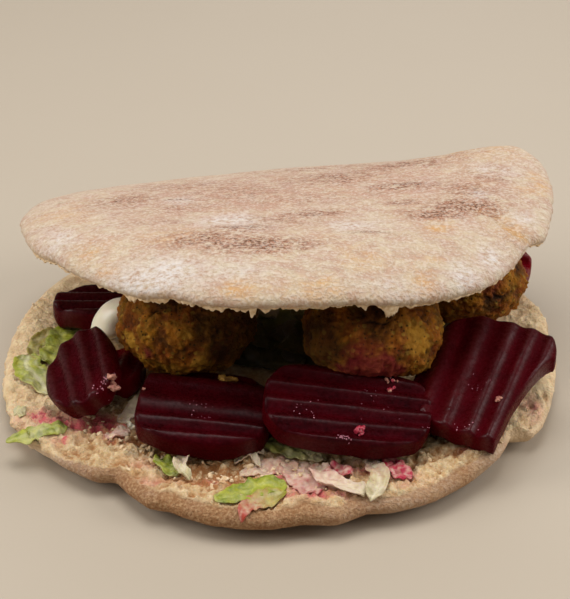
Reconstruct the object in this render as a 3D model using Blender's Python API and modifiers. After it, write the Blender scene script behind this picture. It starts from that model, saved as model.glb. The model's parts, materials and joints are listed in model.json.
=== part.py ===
"""Falafel pita: a round pocket bread slit open along its front and sides and laid
over falafel balls, crinkle-cut beetroot slices, shredded lettuce and a spoonful of
garlic sauce.

Frame: metres, +Z up. The origin is on the resting plane below the centre of the lower
leaf. +X is the eater's right, and -Y is the open front of the bread.
"""

import math

import bmesh
import bpy
from mathutils import Vector, noise

MM = 0.001

# Bread: two leaves of one round loaf, still joined round the back.
LEAF_RADIUS = 83.0 * MM
LEAF_LEAN = 3.2 * MM          # the lower leaf reaches further to the front left
LEAF_LEAN_AZIMUTH = -150.0
SEGMENTS = 32
RINGS = 5
JOINED_SEGMENTS = 4           # each side of the back centre line
FLAT_SHARE = 0.84             # share of the lower leaf's radius that lies flat
RIM_LIFT = 3.0 * MM
LID_CENTRE_Y = 17.0 * MM
LID_HALF_WIDTH = 78.5 * MM
LID_FRONT_REACH = 67.0 * MM
LID_BACK_REACH = 45.0 * MM
LID_HEIGHT = 51.5 * MM        # crust height above the lid's centre line at Y = 0
LID_SLOPE = 0.155             # falls towards the back
LID_BACK_CURVE = 3.0          # per metre, behind LID_CURVE_START
LID_CURVE_START = 10.0 * MM
LID_ROLL = 0.045              # rises towards +X
LID_TWIST = 1.1               # extra roll per metre of Y
LID_DROOP = 6.5 * MM          # the border of the lid turns down
BACK_DROOP = 0.25             # share of that at the back
LID_LOBE_AZIMUTH = 60.0       # a blister at the back right corner
LID_LOBE_WIDTH = 17.0
LID_LOBE_RISE = 7.0 * MM
LID_BORDER = 0.72             # share of the lid's reach inside its border
LOWER_THICKNESS = 7.6 * MM
LID_THICKNESS = 7.4 * MM
LID_EDGE_THICKNESS = 5.4 * MM
FOLD_THICKNESS = 5.0 * MM
FOLD_REACH = 76.0 * MM
FOLD_HEIGHT = 20.0 * MM
FULL_WEIGHT = 10.0 * MM       # wall thickness where a vertex weighs 1
CRUMB_UNEVENNESS = 0.06
RING_SPACING = 0.8            # below 1 the rings crowd towards the rim

# Dents in the outline of each leaf: azimuth in degrees from +Y towards +X, depth, width.
LOWER_DENTS = (
    (-146.0, 3.2 * MM, 6.0),
    (-106.0, 1.4 * MM, 5.0),
    (-80.0, 2.4 * MM, 17.0),
    (96.0, 2.4 * MM, 11.0),
    (128.0, 3.2 * MM, 5.0),
)
LID_DENTS = ((123.0, 3.0 * MM, 6.0), (-112.0, 1.2 * MM, 6.0))
LID_BULGES = ((64.0, 3.0 * MM, 22.0), (-62.0, 3.0 * MM, 20.0))

# Beetroot slices: the crinkle blade leaves parallel waves on both faces.
SLICE_THICKNESS = 6.4 * MM
RIDGE_PITCH = 5.4 * MM
RIDGE_HEIGHT = 0.85 * MM
WAVE_STEPS = 4                # columns of faces in one ridge
END_SHARE = 0.985             # the outline stops just short of a point at its two ends
TRIM_RISE = 31.0 * MM         # how far up the side a trimmed corner reaches
TRIM_CURVE = 0.45
TRIM_LIMIT = 0.45

# Falafel balls: name, centre and half sizes in mm, then the height and the slopes towards +X
# and +Y of what each is pressed down on. The middle one sits on the back edge of a slice.
FALAFEL_BALLS = (
    ("falafel_left", (-27.2, -20.0, 28.0), (20.8, 18.6, 17.6), (11.3, -0.42, 0.0)),
    ("falafel_middle", (23.4, -24.2, 29.6), (21.0, 20.0, 16.4), (18.5, -0.105, -0.40)),
    ("falafel_right", (54.2, 10.0, 27.0), (18.6, 18.4, 17.0), (11.0, 0.0, 0.0)),
)
FALAFEL_LUMPS = 0.07
PRESSED_CURVE = 0.15          # roundness left on a pressed underside

# Garlic sauce: a dollop between the left ball and the beetroot behind it.
SAUCE_CENTRE = (-49.8, -8.9, 17.6)
SAUCE_HALF_SIZES = (5.2, 5.4, 8.2)

# Lettuce bed: a loose heap under the balls, pressed down where they sit, in mm.
BED_CENTRE = (12.0, 12.0)
BED_HALF_SIZES = (43.0, 36.0)
BED_BOTTOM = 8.5
BED_HEIGHT = 17.0
BED_EDGE_HEIGHT = 11.5
BED_UNEVENNESS = 2.2
BED_CLEARANCE = 0.9
BED_THINNEST = 0.8
BED_RAGGEDNESS = 0.05

SHRED_THICKNESS = 0.9 * MM


def clear_scene():
    for item in list(bpy.data.objects):
        bpy.data.objects.remove(item, do_unlink=True)


def new_collection(name):
    collection = bpy.data.collections.new(name)
    bpy.context.scene.collection.children.link(collection)
    return collection


def plain_material(name, colour, roughness):
    material = bpy.data.materials.new(name)
    material.use_nodes = True
    shader = material.node_tree.nodes["Principled BSDF"]
    shader.inputs["Base Color"].default_value = (*colour, 1.0)
    shader.inputs["Roughness"].default_value = roughness
    shader.inputs["Metallic"].default_value = 0.0
    material.diffuse_color = (*colour, 1.0)
    return material


def add_object(name, bm, material, collection, smooth_angle=40.0):
    mesh = bpy.data.meshes.new(name)
    bm.to_mesh(mesh)
    bm.free()
    mesh.shade_smooth()
    mesh.set_sharp_from_angle(angle=math.radians(smooth_angle))
    mesh.materials.append(material)
    item = bpy.data.objects.new(name, mesh)
    collection.objects.link(item)
    return item


def place(item, centre, pitch=0.0, roll=0.0, turn=0.0):
    """Turn about Z first, then pitch about X, then roll about Y; centre is in mm."""
    item.location = Vector(centre) * MM
    item.rotation_mode = "ZXY"
    item.rotation_euler = (math.radians(pitch), math.radians(roll), math.radians(turn))


# ---------------------------------------------------------------- bread

def dent(azimuth, dents):
    total = 0.0
    for centre, depth, width in dents:
        away = (math.degrees(azimuth) - centre + 180.0) % 360.0 - 180.0
        total += depth * math.exp(-((away / width) ** 2))
    return total


def lower_point(azimuth, share):
    """Crust of the lower leaf: flat underneath, turned up round the rim."""
    lobes = 0.9 * MM * math.sin(5.0 * azimuth + 0.6) + 0.5 * MM * math.sin(9.0 * azimuth)
    lean = LEAF_LEAN * math.cos(azimuth - math.radians(LEAF_LEAN_AZIMUTH))
    radius = LEAF_RADIUS + (lobes + lean) * share - dent(azimuth, LOWER_DENTS)
    turned = max(0.0, (share - FLAT_SHARE) / (1.0 - FLAT_SHARE))
    reach = radius * share
    return Vector((reach * math.sin(azimuth), reach * math.cos(azimuth), RIM_LIFT * turned ** 2))


def lid_height(x, y):
    """Crust of the lid before its border turns down."""
    behind = max(0.0, y - LID_CURVE_START)
    height = LID_HEIGHT - LID_SLOPE * y - LID_BACK_CURVE * behind ** 2
    return height + x * (LID_ROLL + LID_TWIST * (y - LID_CURVE_START))


def lid_point(azimuth, share):
    front = math.cos(azimuth) < 0.0
    reach_y = LID_FRONT_REACH if front else LID_BACK_REACH
    wave = 0.8 * MM * math.sin(6.0 * azimuth + 1.0) - dent(azimuth, LID_DENTS)
    wave += dent(azimuth, LID_BULGES)
    x = (LID_HALF_WIDTH + wave) * share * math.sin(azimuth)
    y = LID_CENTRE_Y + (reach_y + wave) * share * math.cos(azimuth)
    turned = max(0.0, (share - LID_BORDER) / (1.0 - LID_BORDER))
    frontness = 0.5 - 0.5 * math.cos(azimuth)
    droop = LID_DROOP * (BACK_DROOP + (1.0 - BACK_DROOP) * frontness) * turned ** 2
    away = (math.degrees(azimuth) - LID_LOBE_AZIMUTH) / LID_LOBE_WIDTH
    lobe = LID_LOBE_RISE * math.exp(-away ** 2) * share ** 3
    return Vector((x, y, lid_height(x, y) - droop + lobe))


def fold_point(azimuth, step, steps):
    """The joined back edge, from the lid's ring down to the lower leaf's ring."""
    top = lid_point(azimuth, 1.0)
    bottom = lower_point(azimuth, 1.0)
    middle = Vector((FOLD_REACH * math.sin(azimuth), FOLD_REACH * math.cos(azimuth), FOLD_HEIGHT))
    way = step / steps
    return top * (1 - way) ** 2 + middle * (2 * way * (1 - way)) + bottom * way ** 2


def leaf_rings(bm, point, weights, thickness):
    """A polar sheet: its centre vertex and then one ring of vertices after another."""
    centre = bm.verts.new(point(0.0, 0.0))
    centre[weights][0] = thickness(0.0, 0.0)
    rings = []
    for ring in range(1, RINGS + 1):
        share = (ring / RINGS) ** RING_SPACING
        row = []
        for segment in range(SEGMENTS):
            azimuth = 2.0 * math.pi * segment / SEGMENTS
            vert = bm.verts.new(point(azimuth, share))
            vert[weights][0] = thickness(azimuth, share)
            row.append(vert)
        rings.append(row)
    return centre, rings


def skin_leaf(bm, centre, rings, faces_up):
    for segment in range(SEGMENTS):
        after = (segment + 1) % SEGMENTS
        corner = (centre, rings[0][after], rings[0][segment])
        bm.faces.new(corner if faces_up else corner[::-1])
        for inner, outer in zip(rings, rings[1:]):
            quad = (inner[segment], inner[after], outer[after], outer[segment])
            bm.faces.new(quad if faces_up else quad[::-1])


def lower_thickness(azimuth, share):
    where = Vector((math.sin(azimuth), math.cos(azimuth), 0.5)) * (3.0 * share)
    return LOWER_THICKNESS * (1.0 + CRUMB_UNEVENNESS * noise.noise(where)) / FULL_WEIGHT


def lid_thickness(azimuth, share):
    edge = max(0.0, (share - LID_BORDER) / (1.0 - LID_BORDER))
    return (LID_THICKNESS + (LID_EDGE_THICKNESS - LID_THICKNESS) * edge) / FULL_WEIGHT


def make_bread(material, collection):
    """One folded sheet of bread, thickened inwards from its crust and rounded."""
    bm = bmesh.new()
    weights = bm.verts.layers.deform.verify()
    lower_centre, lower = leaf_rings(bm, lower_point, weights, lower_thickness)
    lid_centre, lid = leaf_rings(bm, lid_point, weights, lid_thickness)
    skin_leaf(bm, lower_centre, lower, faces_up=False)
    skin_leaf(bm, lid_centre, lid, faces_up=True)
    columns = []
    for segment in range(-JOINED_SEGMENTS, JOINED_SEGMENTS + 1):
        azimuth = 2.0 * math.pi * segment / SEGMENTS
        middle = bm.verts.new(fold_point(azimuth, 1, 2))
        middle[weights][0] = FOLD_THICKNESS / FULL_WEIGHT
        columns.append((lid[-1][segment], middle, lower[-1][segment]))
    for left, right in zip(columns, columns[1:]):
        for step in range(2):
            bm.faces.new((left[step], right[step], right[step + 1], left[step + 1]))
    item = add_object("pita", bm, material, collection, smooth_angle=80.0)
    item.vertex_groups.new(name="thickness")
    wall = item.modifiers.new("wall", "SOLIDIFY")
    wall.thickness = FULL_WEIGHT
    wall.offset = -1.0
    wall.vertex_group = "thickness"
    wall.use_even_offset = True
    rounding = item.modifiers.new("rounding", "SUBSURF")
    rounding.levels = 1
    rounding.render_levels = 1
    return item


# ---------------------------------------------------------------- fillings

def rest_height(rest, x_off, y_off):
    """Height in mm of what a ball is pressed down on, at an offset from its centre."""
    height, slope_x, slope_y = rest
    return height + slope_x * x_off + slope_y * y_off


def make_falafel(name, centre, half_sizes, rest, material, collection):
    bm = bmesh.new()
    bmesh.ops.create_icosphere(bm, subdivisions=3, radius=1.0)
    offset = Vector(centre) * 0.1
    for vert in bm.verts:
        lump = noise.noise(vert.co * 1.6 + offset) + 0.6 * noise.noise(vert.co * 3.7 + offset)
        size = 1.0 - FALAFEL_LUMPS * (0.45 - 0.5 * lump)
        vert.co = Vector([size * side * MM * axis for side, axis in zip(half_sizes, vert.co)])
        floor = (rest_height(rest, vert.co.x / MM, vert.co.y / MM) - centre[2]) * MM
        vert.co.z = max(vert.co.z, floor + PRESSED_CURVE * (vert.co.z - floor))
    item = add_object(name, bm, material, collection)
    place(item, centre)
    return item


def make_slice(name, across, along, centre, pitch, roll, turn, crest, outline, material, collection):
    """A wavy plate whose waves run along local Y.

    crest is where one wave peaks, in mm from the middle. outline is the squareness at -X and
    +X (2 is an ellipse, 6 nearly square), a shear that slides the +X end along the waves,
    and where a trim of the +X -Y corner starts.
    """
    left, right, shear, trim_start = outline
    columns = round(across * MM / RIDGE_PITCH * WAVE_STEPS)
    bm = bmesh.new()
    bmesh.ops.create_grid(bm, x_segments=columns, y_segments=1, size=1.0)
    for vert in bm.verts:
        u, v = vert.co.x, vert.co.y
        x = 0.5 * across * MM * u
        squareness = left if u < 0.0 else right
        reach = (1.0 - abs(END_SHARE * u) ** squareness) ** (1.0 / squareness)
        y = 0.5 * along * MM * reach * v + shear * x
        if v < 0.0 and x > trim_start * MM:
            way = (x / MM - trim_start) / (0.5 * across - trim_start)
            trimmed = TRIM_RISE * way ** TRIM_CURVE - 0.5 * along * MM
            y = max(y, min(trimmed, TRIM_LIMIT * along * MM * reach))
        wave = math.cos(2.0 * math.pi * (x - crest * MM) / RIDGE_PITCH)
        z = 0.5 * SLICE_THICKNESS + RIDGE_HEIGHT * wave
        vert.co = Vector((x, y, z))
    top = list(bm.faces)
    below = bmesh.ops.extrude_face_region(bm, geom=top)
    lowered = [part for part in below["geom"] if isinstance(part, bmesh.types.BMVert)]
    bmesh.ops.translate(bm, verts=lowered, vec=(0.0, 0.0, -SLICE_THICKNESS))
    bmesh.ops.recalc_face_normals(bm, faces=bm.faces)
    item = add_object(name, bm, material, collection)
    place(item, centre, pitch, roll, turn)
    return item


def make_sauce(material, collection):
    bm = bmesh.new()
    bmesh.ops.create_uvsphere(bm, u_segments=14, v_segments=9, radius=1.0)
    for vert in bm.verts:
        swell = 1.0 + 0.10 * noise.noise(vert.co * 1.3 + Vector((4.0, 1.0, 2.0)))
        vert.co = Vector([swell * side * MM * axis for side, axis in zip(SAUCE_HALF_SIZES, vert.co)])
    item = add_object("garlic_sauce", bm, material, collection)
    place(item, SAUCE_CENTRE)
    return item


def pressed_height(x, y):
    """Height of the lettuce at a point in mm: a mound that stays below the balls."""
    u = (x - BED_CENTRE[0]) / BED_HALF_SIZES[0]
    v = (y - BED_CENTRE[1]) / BED_HALF_SIZES[1]
    inside = max(0.0, 1.0 - u * u - v * v)
    height = BED_EDGE_HEIGHT + (BED_HEIGHT - BED_EDGE_HEIGHT) * math.sqrt(inside)
    height += BED_UNEVENNESS * noise.noise(Vector((0.11 * x, 0.11 * y, 5.0)))
    for _, centre, half_sizes, rest in FALAFEL_BALLS:
        away = ((x - centre[0]) / half_sizes[0]) ** 2 + ((y - centre[1]) / half_sizes[1]) ** 2
        if away < 1.0:
            underside = centre[2] - half_sizes[2] * math.sqrt(1.0 - away)
            floor = rest_height(rest, x - centre[0], y - centre[1])
            pressed = max(underside, floor + PRESSED_CURVE * (underside - floor))
            height = min(height, pressed - BED_CLEARANCE)
    return max(height, BED_BOTTOM + BED_THINNEST)


def make_lettuce_bed(material, collection):
    bm = bmesh.new()
    bmesh.ops.create_grid(bm, x_segments=16, y_segments=13, size=1.0)
    for vert in bm.verts:
        u, v = vert.co.x, vert.co.y
        ragged = 1.0 + BED_RAGGEDNESS * math.sin(7.0 * math.atan2(v, u))
        x = BED_CENTRE[0] + BED_HALF_SIZES[0] * ragged * u * math.sqrt(1.0 - 0.5 * v * v)
        y = BED_CENTRE[1] + BED_HALF_SIZES[1] * ragged * v * math.sqrt(1.0 - 0.5 * u * u)
        vert.co = Vector((x, y, pressed_height(x, y))) * MM
    below = bmesh.ops.extrude_face_region(bm, geom=list(bm.faces))
    for part in below["geom"]:
        if isinstance(part, bmesh.types.BMVert):
            part.co.z = BED_BOTTOM * MM
    flat = [part for part in below["geom"] if isinstance(part, bmesh.types.BMFace)]
    bmesh.ops.dissolve_faces(bm, faces=flat)
    bmesh.ops.recalc_face_normals(bm, faces=bm.faces)
    return add_object("lettuce_bed", bm, material, collection, smooth_angle=50.0)


def make_shred(name, length, width, centre, heading, bend, ruffle, material, collection):
    """A ruffled strip of leaf along local X; its outer half bends down by bend degrees."""
    bm = bmesh.new()
    bmesh.ops.create_grid(bm, x_segments=7, y_segments=2, size=1.0)
    radius = 0.5 * length / math.radians(bend)
    for vert in bm.verts:
        u, v = vert.co.x, vert.co.y
        angle = math.radians(bend) * max(0.0, u)
        x = radius * math.sin(angle) + 0.5 * length * min(0.0, u)
        slim = 1.0 - 0.45 * u * u + 0.12 * math.sin(5.0 * u + length)
        y = 0.5 * width * v * slim + 0.08 * length * math.sin(1.7 * u + width)
        z = ruffle * (math.sin(4.2 * u + 2.0 * v + width) * abs(v) + 0.4 * v * v)
        z -= radius * (1.0 - math.cos(angle))
        vert.co = Vector((x, y, z)) * MM
    item = add_object(name, bm, material, collection, smooth_angle=60.0)
    wall = item.modifiers.new("wall", "SOLIDIFY")
    wall.thickness = SHRED_THICKNESS
    wall.offset = 0.0
    place(item, centre, turn=heading)
    return item


# squareness at each end, shear, start of the trimmed corner (mm across from the middle)
OVAL = (2.3, 2.3, 0.0, 50.0)
LEANING_OVAL = (1.7, 3.0, 0.15, 50.0)
LONG_OVAL = (2.6, 2.6, 0.0, 50.0)
SQUARE_BACK = (2.6, 3.2, 0.0, 50.0)
TRIMMED = (2.3, 5.0, 0.0, 7.3)

# name, across ridges, along ridges, centre (mm), pitch, roll, turn (deg), a crest, outline
BEET_SLICES = (
    ("beetroot_back_left", 19.0, 29.0, (-54.0, 8.5, 13.6), -5.0, 0.0, 90.0, 3.0, OVAL),
    ("beetroot_left", 20.6, 27.5, (-55.6, -35.4, 19.2), 14.0, -25.0, 8.0, 2.6, LEANING_OVAL),
    ("beetroot_under_left", 12.0, 24.0, (-46.2, -28.5, 12.4), 0.0, 0.0, -11.0, 0.0, OVAL),
    ("beetroot_front_left", 23.4, 34.0, (-23.3, -50.2, 14.6), 9.0, 2.5, 84.0, 1.6, LONG_OVAL),
    ("beetroot_front_middle", 26.0, 44.0, (16.5, -52.0, 18.1), 17.0, 6.0, 88.0, -1.0, SQUARE_BACK),
    ("beetroot_front_right", 29.0, 43.0, (55.6, -39.6, 19.0), 15.5, 0.0, -21.0, 5.3, TRIMMED),
    ("beetroot_back_right", 20.0, 22.0, (65.6, 33.4, 15.8), 14.0, 0.0, 60.0, 0.0, OVAL),
)

# name, length, width, centre (mm), heading, bend (deg), ruffle (mm)
LETTUCE_SHREDS = (
    ("lettuce_left_upper", 19.0, 8.0, (-66.6, -9.0, 10.6), -80.0, 10.0, 1.0),
    ("lettuce_left_lower", 17.0, 7.0, (-69.2, -27.2, 10.6), -118.0, 10.0, 0.8),
    ("lettuce_rim_left", 18.0, 6.0, (-67.4, -52.2, 11.6), 206.0, 35.0, 0.5),
    ("lettuce_gap_left", 10.0, 5.0, (-44.5, -46.6, 9.8), -60.0, 5.0, 0.4),
    ("lettuce_front_left", 11.0, 5.0, (-30.8, -67.2, 10.3), -70.0, 10.0, 0.5),
    ("lettuce_front_curl", 11.0, 4.5, (-24.1, -68.0, 10.4), -80.0, 10.0, 0.5),
    ("lettuce_front_small", 10.0, 4.0, (-10.5, -64.6, 9.6), 5.0, 5.0, 0.4),
    ("lettuce_rim_front", 22.0, 7.0, (-8.5, -80.0, 11.2), -145.0, 45.0, 0.5),
    ("lettuce_under_middle", 12.0, 5.0, (3.5, -62.8, 9.8), 8.0, 5.0, 0.4),
    ("lettuce_front_pink", 15.0, 7.5, (14.2, -75.2, 11.2), -55.0, 10.0, 0.9),
    ("lettuce_front_white", 12.0, 4.5, (24.5, -75.8, 10.9), -100.0, 10.0, 0.6),
    ("lettuce_front_magenta", 10.0, 5.0, (31.2, -73.2, 10.6), -75.0, 5.0, 0.6),
)


def main():
    clear_scene()
    collection = new_collection("falafel_pita")
    bread = plain_material("pita_bread", (0.74, 0.60, 0.42), 0.85)
    falafel = plain_material("falafel_crust", (0.27, 0.17, 0.06), 0.8)
    beetroot = plain_material("beetroot", (0.11, 0.004, 0.014), 0.25)
    lettuce = plain_material("lettuce", (0.42, 0.50, 0.14), 0.5)
    sauce = plain_material("garlic_sauce", (0.86, 0.83, 0.72), 0.35)
    make_bread(bread, collection)
    for row in FALAFEL_BALLS:
        make_falafel(*row, falafel, collection)
    for row in BEET_SLICES:
        make_slice(*row, beetroot, collection)
    make_sauce(sauce, collection)
    make_lettuce_bed(lettuce, collection)
    for row in LETTUCE_SHREDS:
        make_shred(*row, lettuce, collection)


main()
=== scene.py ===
import json
import math
import random

import bmesh
import bpy
import numpy as np
from mathutils import Matrix, Vector, noise
from mathutils.bvhtree import BVHTree

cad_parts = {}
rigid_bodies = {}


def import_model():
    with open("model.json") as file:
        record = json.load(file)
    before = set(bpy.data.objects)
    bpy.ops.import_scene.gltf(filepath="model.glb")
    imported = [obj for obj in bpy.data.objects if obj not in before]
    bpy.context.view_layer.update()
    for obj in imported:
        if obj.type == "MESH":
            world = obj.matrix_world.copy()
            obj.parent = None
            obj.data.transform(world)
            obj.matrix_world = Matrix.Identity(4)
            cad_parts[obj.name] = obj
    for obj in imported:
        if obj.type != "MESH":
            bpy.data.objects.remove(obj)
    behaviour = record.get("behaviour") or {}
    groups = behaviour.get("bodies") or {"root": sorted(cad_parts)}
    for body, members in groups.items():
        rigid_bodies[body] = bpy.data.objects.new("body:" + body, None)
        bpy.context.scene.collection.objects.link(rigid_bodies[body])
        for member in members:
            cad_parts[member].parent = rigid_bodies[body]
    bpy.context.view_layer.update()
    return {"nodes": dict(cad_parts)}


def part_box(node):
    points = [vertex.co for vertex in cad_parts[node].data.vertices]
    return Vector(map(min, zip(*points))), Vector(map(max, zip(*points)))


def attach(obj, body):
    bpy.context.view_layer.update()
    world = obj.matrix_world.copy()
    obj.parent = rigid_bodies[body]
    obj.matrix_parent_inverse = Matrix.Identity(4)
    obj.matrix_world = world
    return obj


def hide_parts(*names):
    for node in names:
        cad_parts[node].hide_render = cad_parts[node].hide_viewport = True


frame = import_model()


# ---------------------------------------------------------------- bread
# A round pocket bread, baked till it blew up, then slit open round its front and sides: two
# leaves still joined at the back. Floury toasted crust outside, torn pale crumb inside.

MM = 0.001
BREAD_VOXEL = 1.15
POCKET_MIDDLE = 27.0          # height halfway between the leaves
LOWER_LEAF_TOP = 15.0
LID_BOTTOM = 30.0
LID_MIDDLE_Y = 17.0
LID_REACH, LID_WIDENING = 70.0, 6.0     # the lid's half width, and how far it is from round
CRUMB_TEAR = 2.0              # how far the torn layers of crumb step up and down
CRUST_SWELL = 0.35
CREASE_DEPTH, RIM_CREASE_DEPTH = 0.8, 0.7
LOWEST = 0.02                 # the underside stays this far off the floor
TORN_HOLES = (
    # x, y, half widths, depth
    (-40.0, -50.5, 3.4, 2.2, 2.4), (-44.5, -52.5, 1.8, 1.2, 1.8), (-34.0, -56.0, 1.6, 1.1, 1.4),
    (-19.0, -64.5, 7.5, 2.8, 2.2), (-9.0, -63.5, 6.0, 2.0, 1.4), (-29.0, -61.0, 3.0, 1.6, 1.5),
    (33.0, -62.5, 4.5, 2.0, 1.2), (46.0, -58.5, 3.0, 1.3, 1.6), (73.5, -31.0, 1.6, 2.2, 1.8),
    (69.0, -44.0, 1.5, 2.5, 1.2), (-66.0, 20.0, 3.0, 5.0, 0.8), (9.0, -66.0, 5.0, 2.0, 1.6),
)
LID_SCORCHES = (
    # x, y, half widths, strength
    (-46.0, 14.0, 9.0, 6.0, 0.9), (-13.0, 18.0, 18.0, 11.0, 0.5), (-12.0, -15.5, 8.0, 2.4, 0.9),
    (-22.0, -22.0, 10.0, 5.0, 1.0), (-10.0, -26.5, 11.0, 4.5, 1.4), (2.0, -26.0, 9.0, 4.0, 0.8),
    (-2.0, -9.0, 14.0, 5.0, 0.5), (15.0, 28.0, 15.0, 8.0, 0.85), (34.0, 15.0, 12.0, 4.0, 0.75),
    (33.0, 2.0, 6.0, 2.0, 0.7), (8.0, -4.0, 8.0, 2.4, 0.95), (50.0, 0.0, 10.0, 5.0, 1.2),
    (43.0, -6.0, 8.0, 3.4, 1.1), (52.0, 11.0, 9.0, 6.0, 0.8), (-27.0, 5.0, 14.0, 6.0, 0.45),
    (35.0, 36.0, 18.0, 6.0, 0.7), (-30.0, 28.0, 16.0, 6.0, 0.5), (5.0, 8.0, 16.0, 6.0, 0.45),
    (12.0, 44.0, 16.0, 5.0, 0.6), (-34.0, -8.0, 10.0, 3.0, 0.4), (60.0, 20.0, 8.0, 6.0, 0.4),
)
LID_LINES = (
    # x, y, half length, half width, strength: where a fold of the skin caught the heat
    (-31.0, 12.0, 4.0, 0.7, 0.9), (35.0, 17.0, 9.0, 0.8, 0.7), (8.0, -5.0, 4.5, 0.7, 0.8),
    (22.0, -19.0, 5.0, 0.5, 0.7), (-12.0, -14.0, 6.0, 0.8, 0.8), (33.0, 2.0, 4.0, 0.7, 0.6),
    (-35.3, -30.2, 0.5, 0.5, 1.2), (-65.7, 18.7, 0.7, 0.4, 1.2), (-8.0, -27.5, 6.0, 0.8, 0.8),
)
LID_FLOUR = (
    (-15.0, -8.0, 8.0, 4.5, 0.8), (-34.0, -38.0, 13.0, 7.0, 1.0), (19.0, -14.5, 7.0, 3.0, 0.8),
    (48.0, -33.0, 4.0, 4.0, 0.9), (55.0, -24.0, 3.0, 5.0, 0.8), (-62.0, -14.0, 5.0, 6.0, 0.7),
    (-30.0, 10.0, 4.0, 3.0, 0.7), (54.0, 8.0, 3.0, 3.0, 0.6), (67.0, -4.0, 4.0, 3.0, 0.6),
    (-10.0, -40.0, 9.0, 4.0, 0.4), (28.0, -42.0, 8.0, 3.0, 0.4), (62.0, 25.0, 6.0, 4.0, 0.5),
)
LID_GOLD = (
    (-53.0, -21.5, 4.0, 5.0, 0.9), (-47.0, -32.0, 2.4, 3.0, 0.8), (-13.0, -46.0, 5.0, 3.5, 0.9),
    (10.0, -44.5, 4.0, 3.0, 0.9), (36.0, -37.5, 4.0, 5.0, 0.8), (41.5, -14.0, 4.0, 4.0, 0.9),
    (74.0, 19.0, 2.5, 4.0, 1.0), (70.0, 13.0, 4.0, 2.5, 0.7), (62.0, -8.0, 4.0, 6.0, 0.8),
    (40.6, -30.4, 1.5, 1.2, 0.9), (-62.0, 5.0, 7.0, 8.0, 0.5), (20.0, -33.0, 9.0, 5.0, 0.4),
    (-30.0, -20.0, 9.0, 5.0, 0.5), (60.0, 40.0, 12.0, 9.0, 0.5),
)
CRUMB_STAINS = (
    # x, y, half widths, strength of the beetroot juice
    (-54.0, -43.0, 9.0, 4.0, 1.5), (-66.0, -41.5, 5.0, 3.0, 1.3), (-60.0, -52.0, 2.2, 1.2, 1.3),
    (-46.0, -47.0, 3.5, 3.5, 1.3), (6.0, -71.0, 9.0, 5.5, 0.9), (62.0, -51.0, 3.0, 2.5, 0.8),
    (8.0, -77.0, 9.0, 1.6, 0.9), (-34.0, -70.0, 7.0, 2.0, 0.3), (-61.0, -12.0, 4.0, 5.0, 0.5),
    (50.0, -57.0, 3.0, 2.0, 0.6), (30.0, -69.0, 5.0, 3.0, 0.6), (-20.0, -70.0, 5.0, 1.4, 0.35),
    (22.0, -64.0, 8.0, 3.0, 0.7), (-38.0, -62.0, 4.0, 3.0, 0.25), (68.0, -36.0, 3.0, 5.0, 0.5),
)
SOAKED_AND_SHADED_SPOTS = (
    # crumb dark with juice and painted shade between and behind the slices
    (-7.0, -48.0, 5.0, 9.0, 0.9), (-20.0, -34.0, 20.0, 6.0, 0.85), (12.0, -34.0, 26.0, 8.0, 0.85),
    (40.0, -34.0, 6.0, 12.0, 0.85), (38.0, -46.0, 3.0, 5.0, 0.6), (-42.0, -42.0, 3.0, 4.0, 0.5),
)
PALE_RIM = (
    # where the rim was never browned: x, y, half widths, strength
    (-60.0, -50.0, 17.0, 16.0, 0.95), (36.0, -80.0, 22.0, 13.0, 0.6),
    (60.0, -60.0, 13.0, 15.0, 0.8), (-76.0, -14.0, 15.0, 30.0, 0.8),
    (76.0, -28.0, 14.0, 26.0, 0.75),
)
LOWER_RIM = (
    # azimuth in degrees from the back, clockwise, and how far the edge stands out of an even oval
    (60.0, 0.0), (78.0, 1.6), (86.0, 0.2), (96.0, 1.4), (110.0, 2.2), (120.0, 3.6), (124.0, 3.0),
    (127.0, -1.8), (133.0, -0.4), (143.0, 0.8), (152.0, 1.6), (160.0, 1.2), (165.0, -0.6),
    (171.0, 2.2), (177.0, 1.2), (182.0, 3.4), (188.0, 4.2), (193.0, 4.2), (198.0, 2.8),
    (201.0, 1.8), (205.0, 2.6), (210.0, 0.4), (214.5, -2.4), (218.0, 0.5), (229.0, 1.0),
    (236.0, 2.6), (242.0, 2.4), (249.0, 1.5), (262.0, 1.8), (278.0, 1.5), (286.0, 0.0),
    (302.0, -1.5), (330.0, 0.0),
)
LID_RIM = (
    # azimuth about the middle of the lid, how far its edge stands out, and how far up
    (15.0, 0.0, 0.8), (35.0, 0.4, 1.8), (50.0, 0.4, 1.6), (60.0, -0.4, 0.0), (66.0, 0.4, 1.2),
    (71.0, 2.0, 1.6), (77.0, 1.2, 0.6), (85.0, 1.4, 0.0), (92.0, 1.6, 0.0), (101.0, 2.0, -0.2),
    (108.5, 2.8, -1.6), (112.0, 1.0, -0.8), (115.0, 1.6, -0.6), (120.0, 2.6, -2.0),
    (126.0, 3.2, -3.0), (134.0, 3.4, -3.2), (143.0, 3.2, -3.0), (152.0, 2.8, -2.6),
    (158.0, 2.4, -1.8), (164.0, 1.8, -1.0), (172.0, 1.8, -0.8), (182.0, 2.0, -0.9),
    (192.0, 2.4, -1.2), (200.0, 2.6, -1.4), (206.0, 2.0, -1.0), (213.0, 3.0, -2.0),
    (223.0, 2.6, -1.8), (231.0, 1.8, -1.0), (240.0, 0.6, -0.2), (249.0, 1.8, -0.3),
    (258.0, 0.9, 0.0), (268.0, 1.5, 0.0), (278.0, 0.5, 0.5), (290.0, 0.0, 0.0),
)
ROSY_PATCHES = ((-12.0, 14.0, 44.0, 30.0, 1.0), (30.0, 20.0, 30.0, 22.0, 1.0))
# painted shade on the crumb in two low places: x, y, half widths, strength
PAINTED_HOLLOW_SHADE = ((-16.0, -67.5, 13.0, 6.5, 0.95), (-43.0, -52.0, 4.5, 3.0, 0.7))
RAISED_CRUMB = ((50.0, -56.5, 11.0, 6.0, 2.4),)     # what the right front slice lies on
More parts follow.
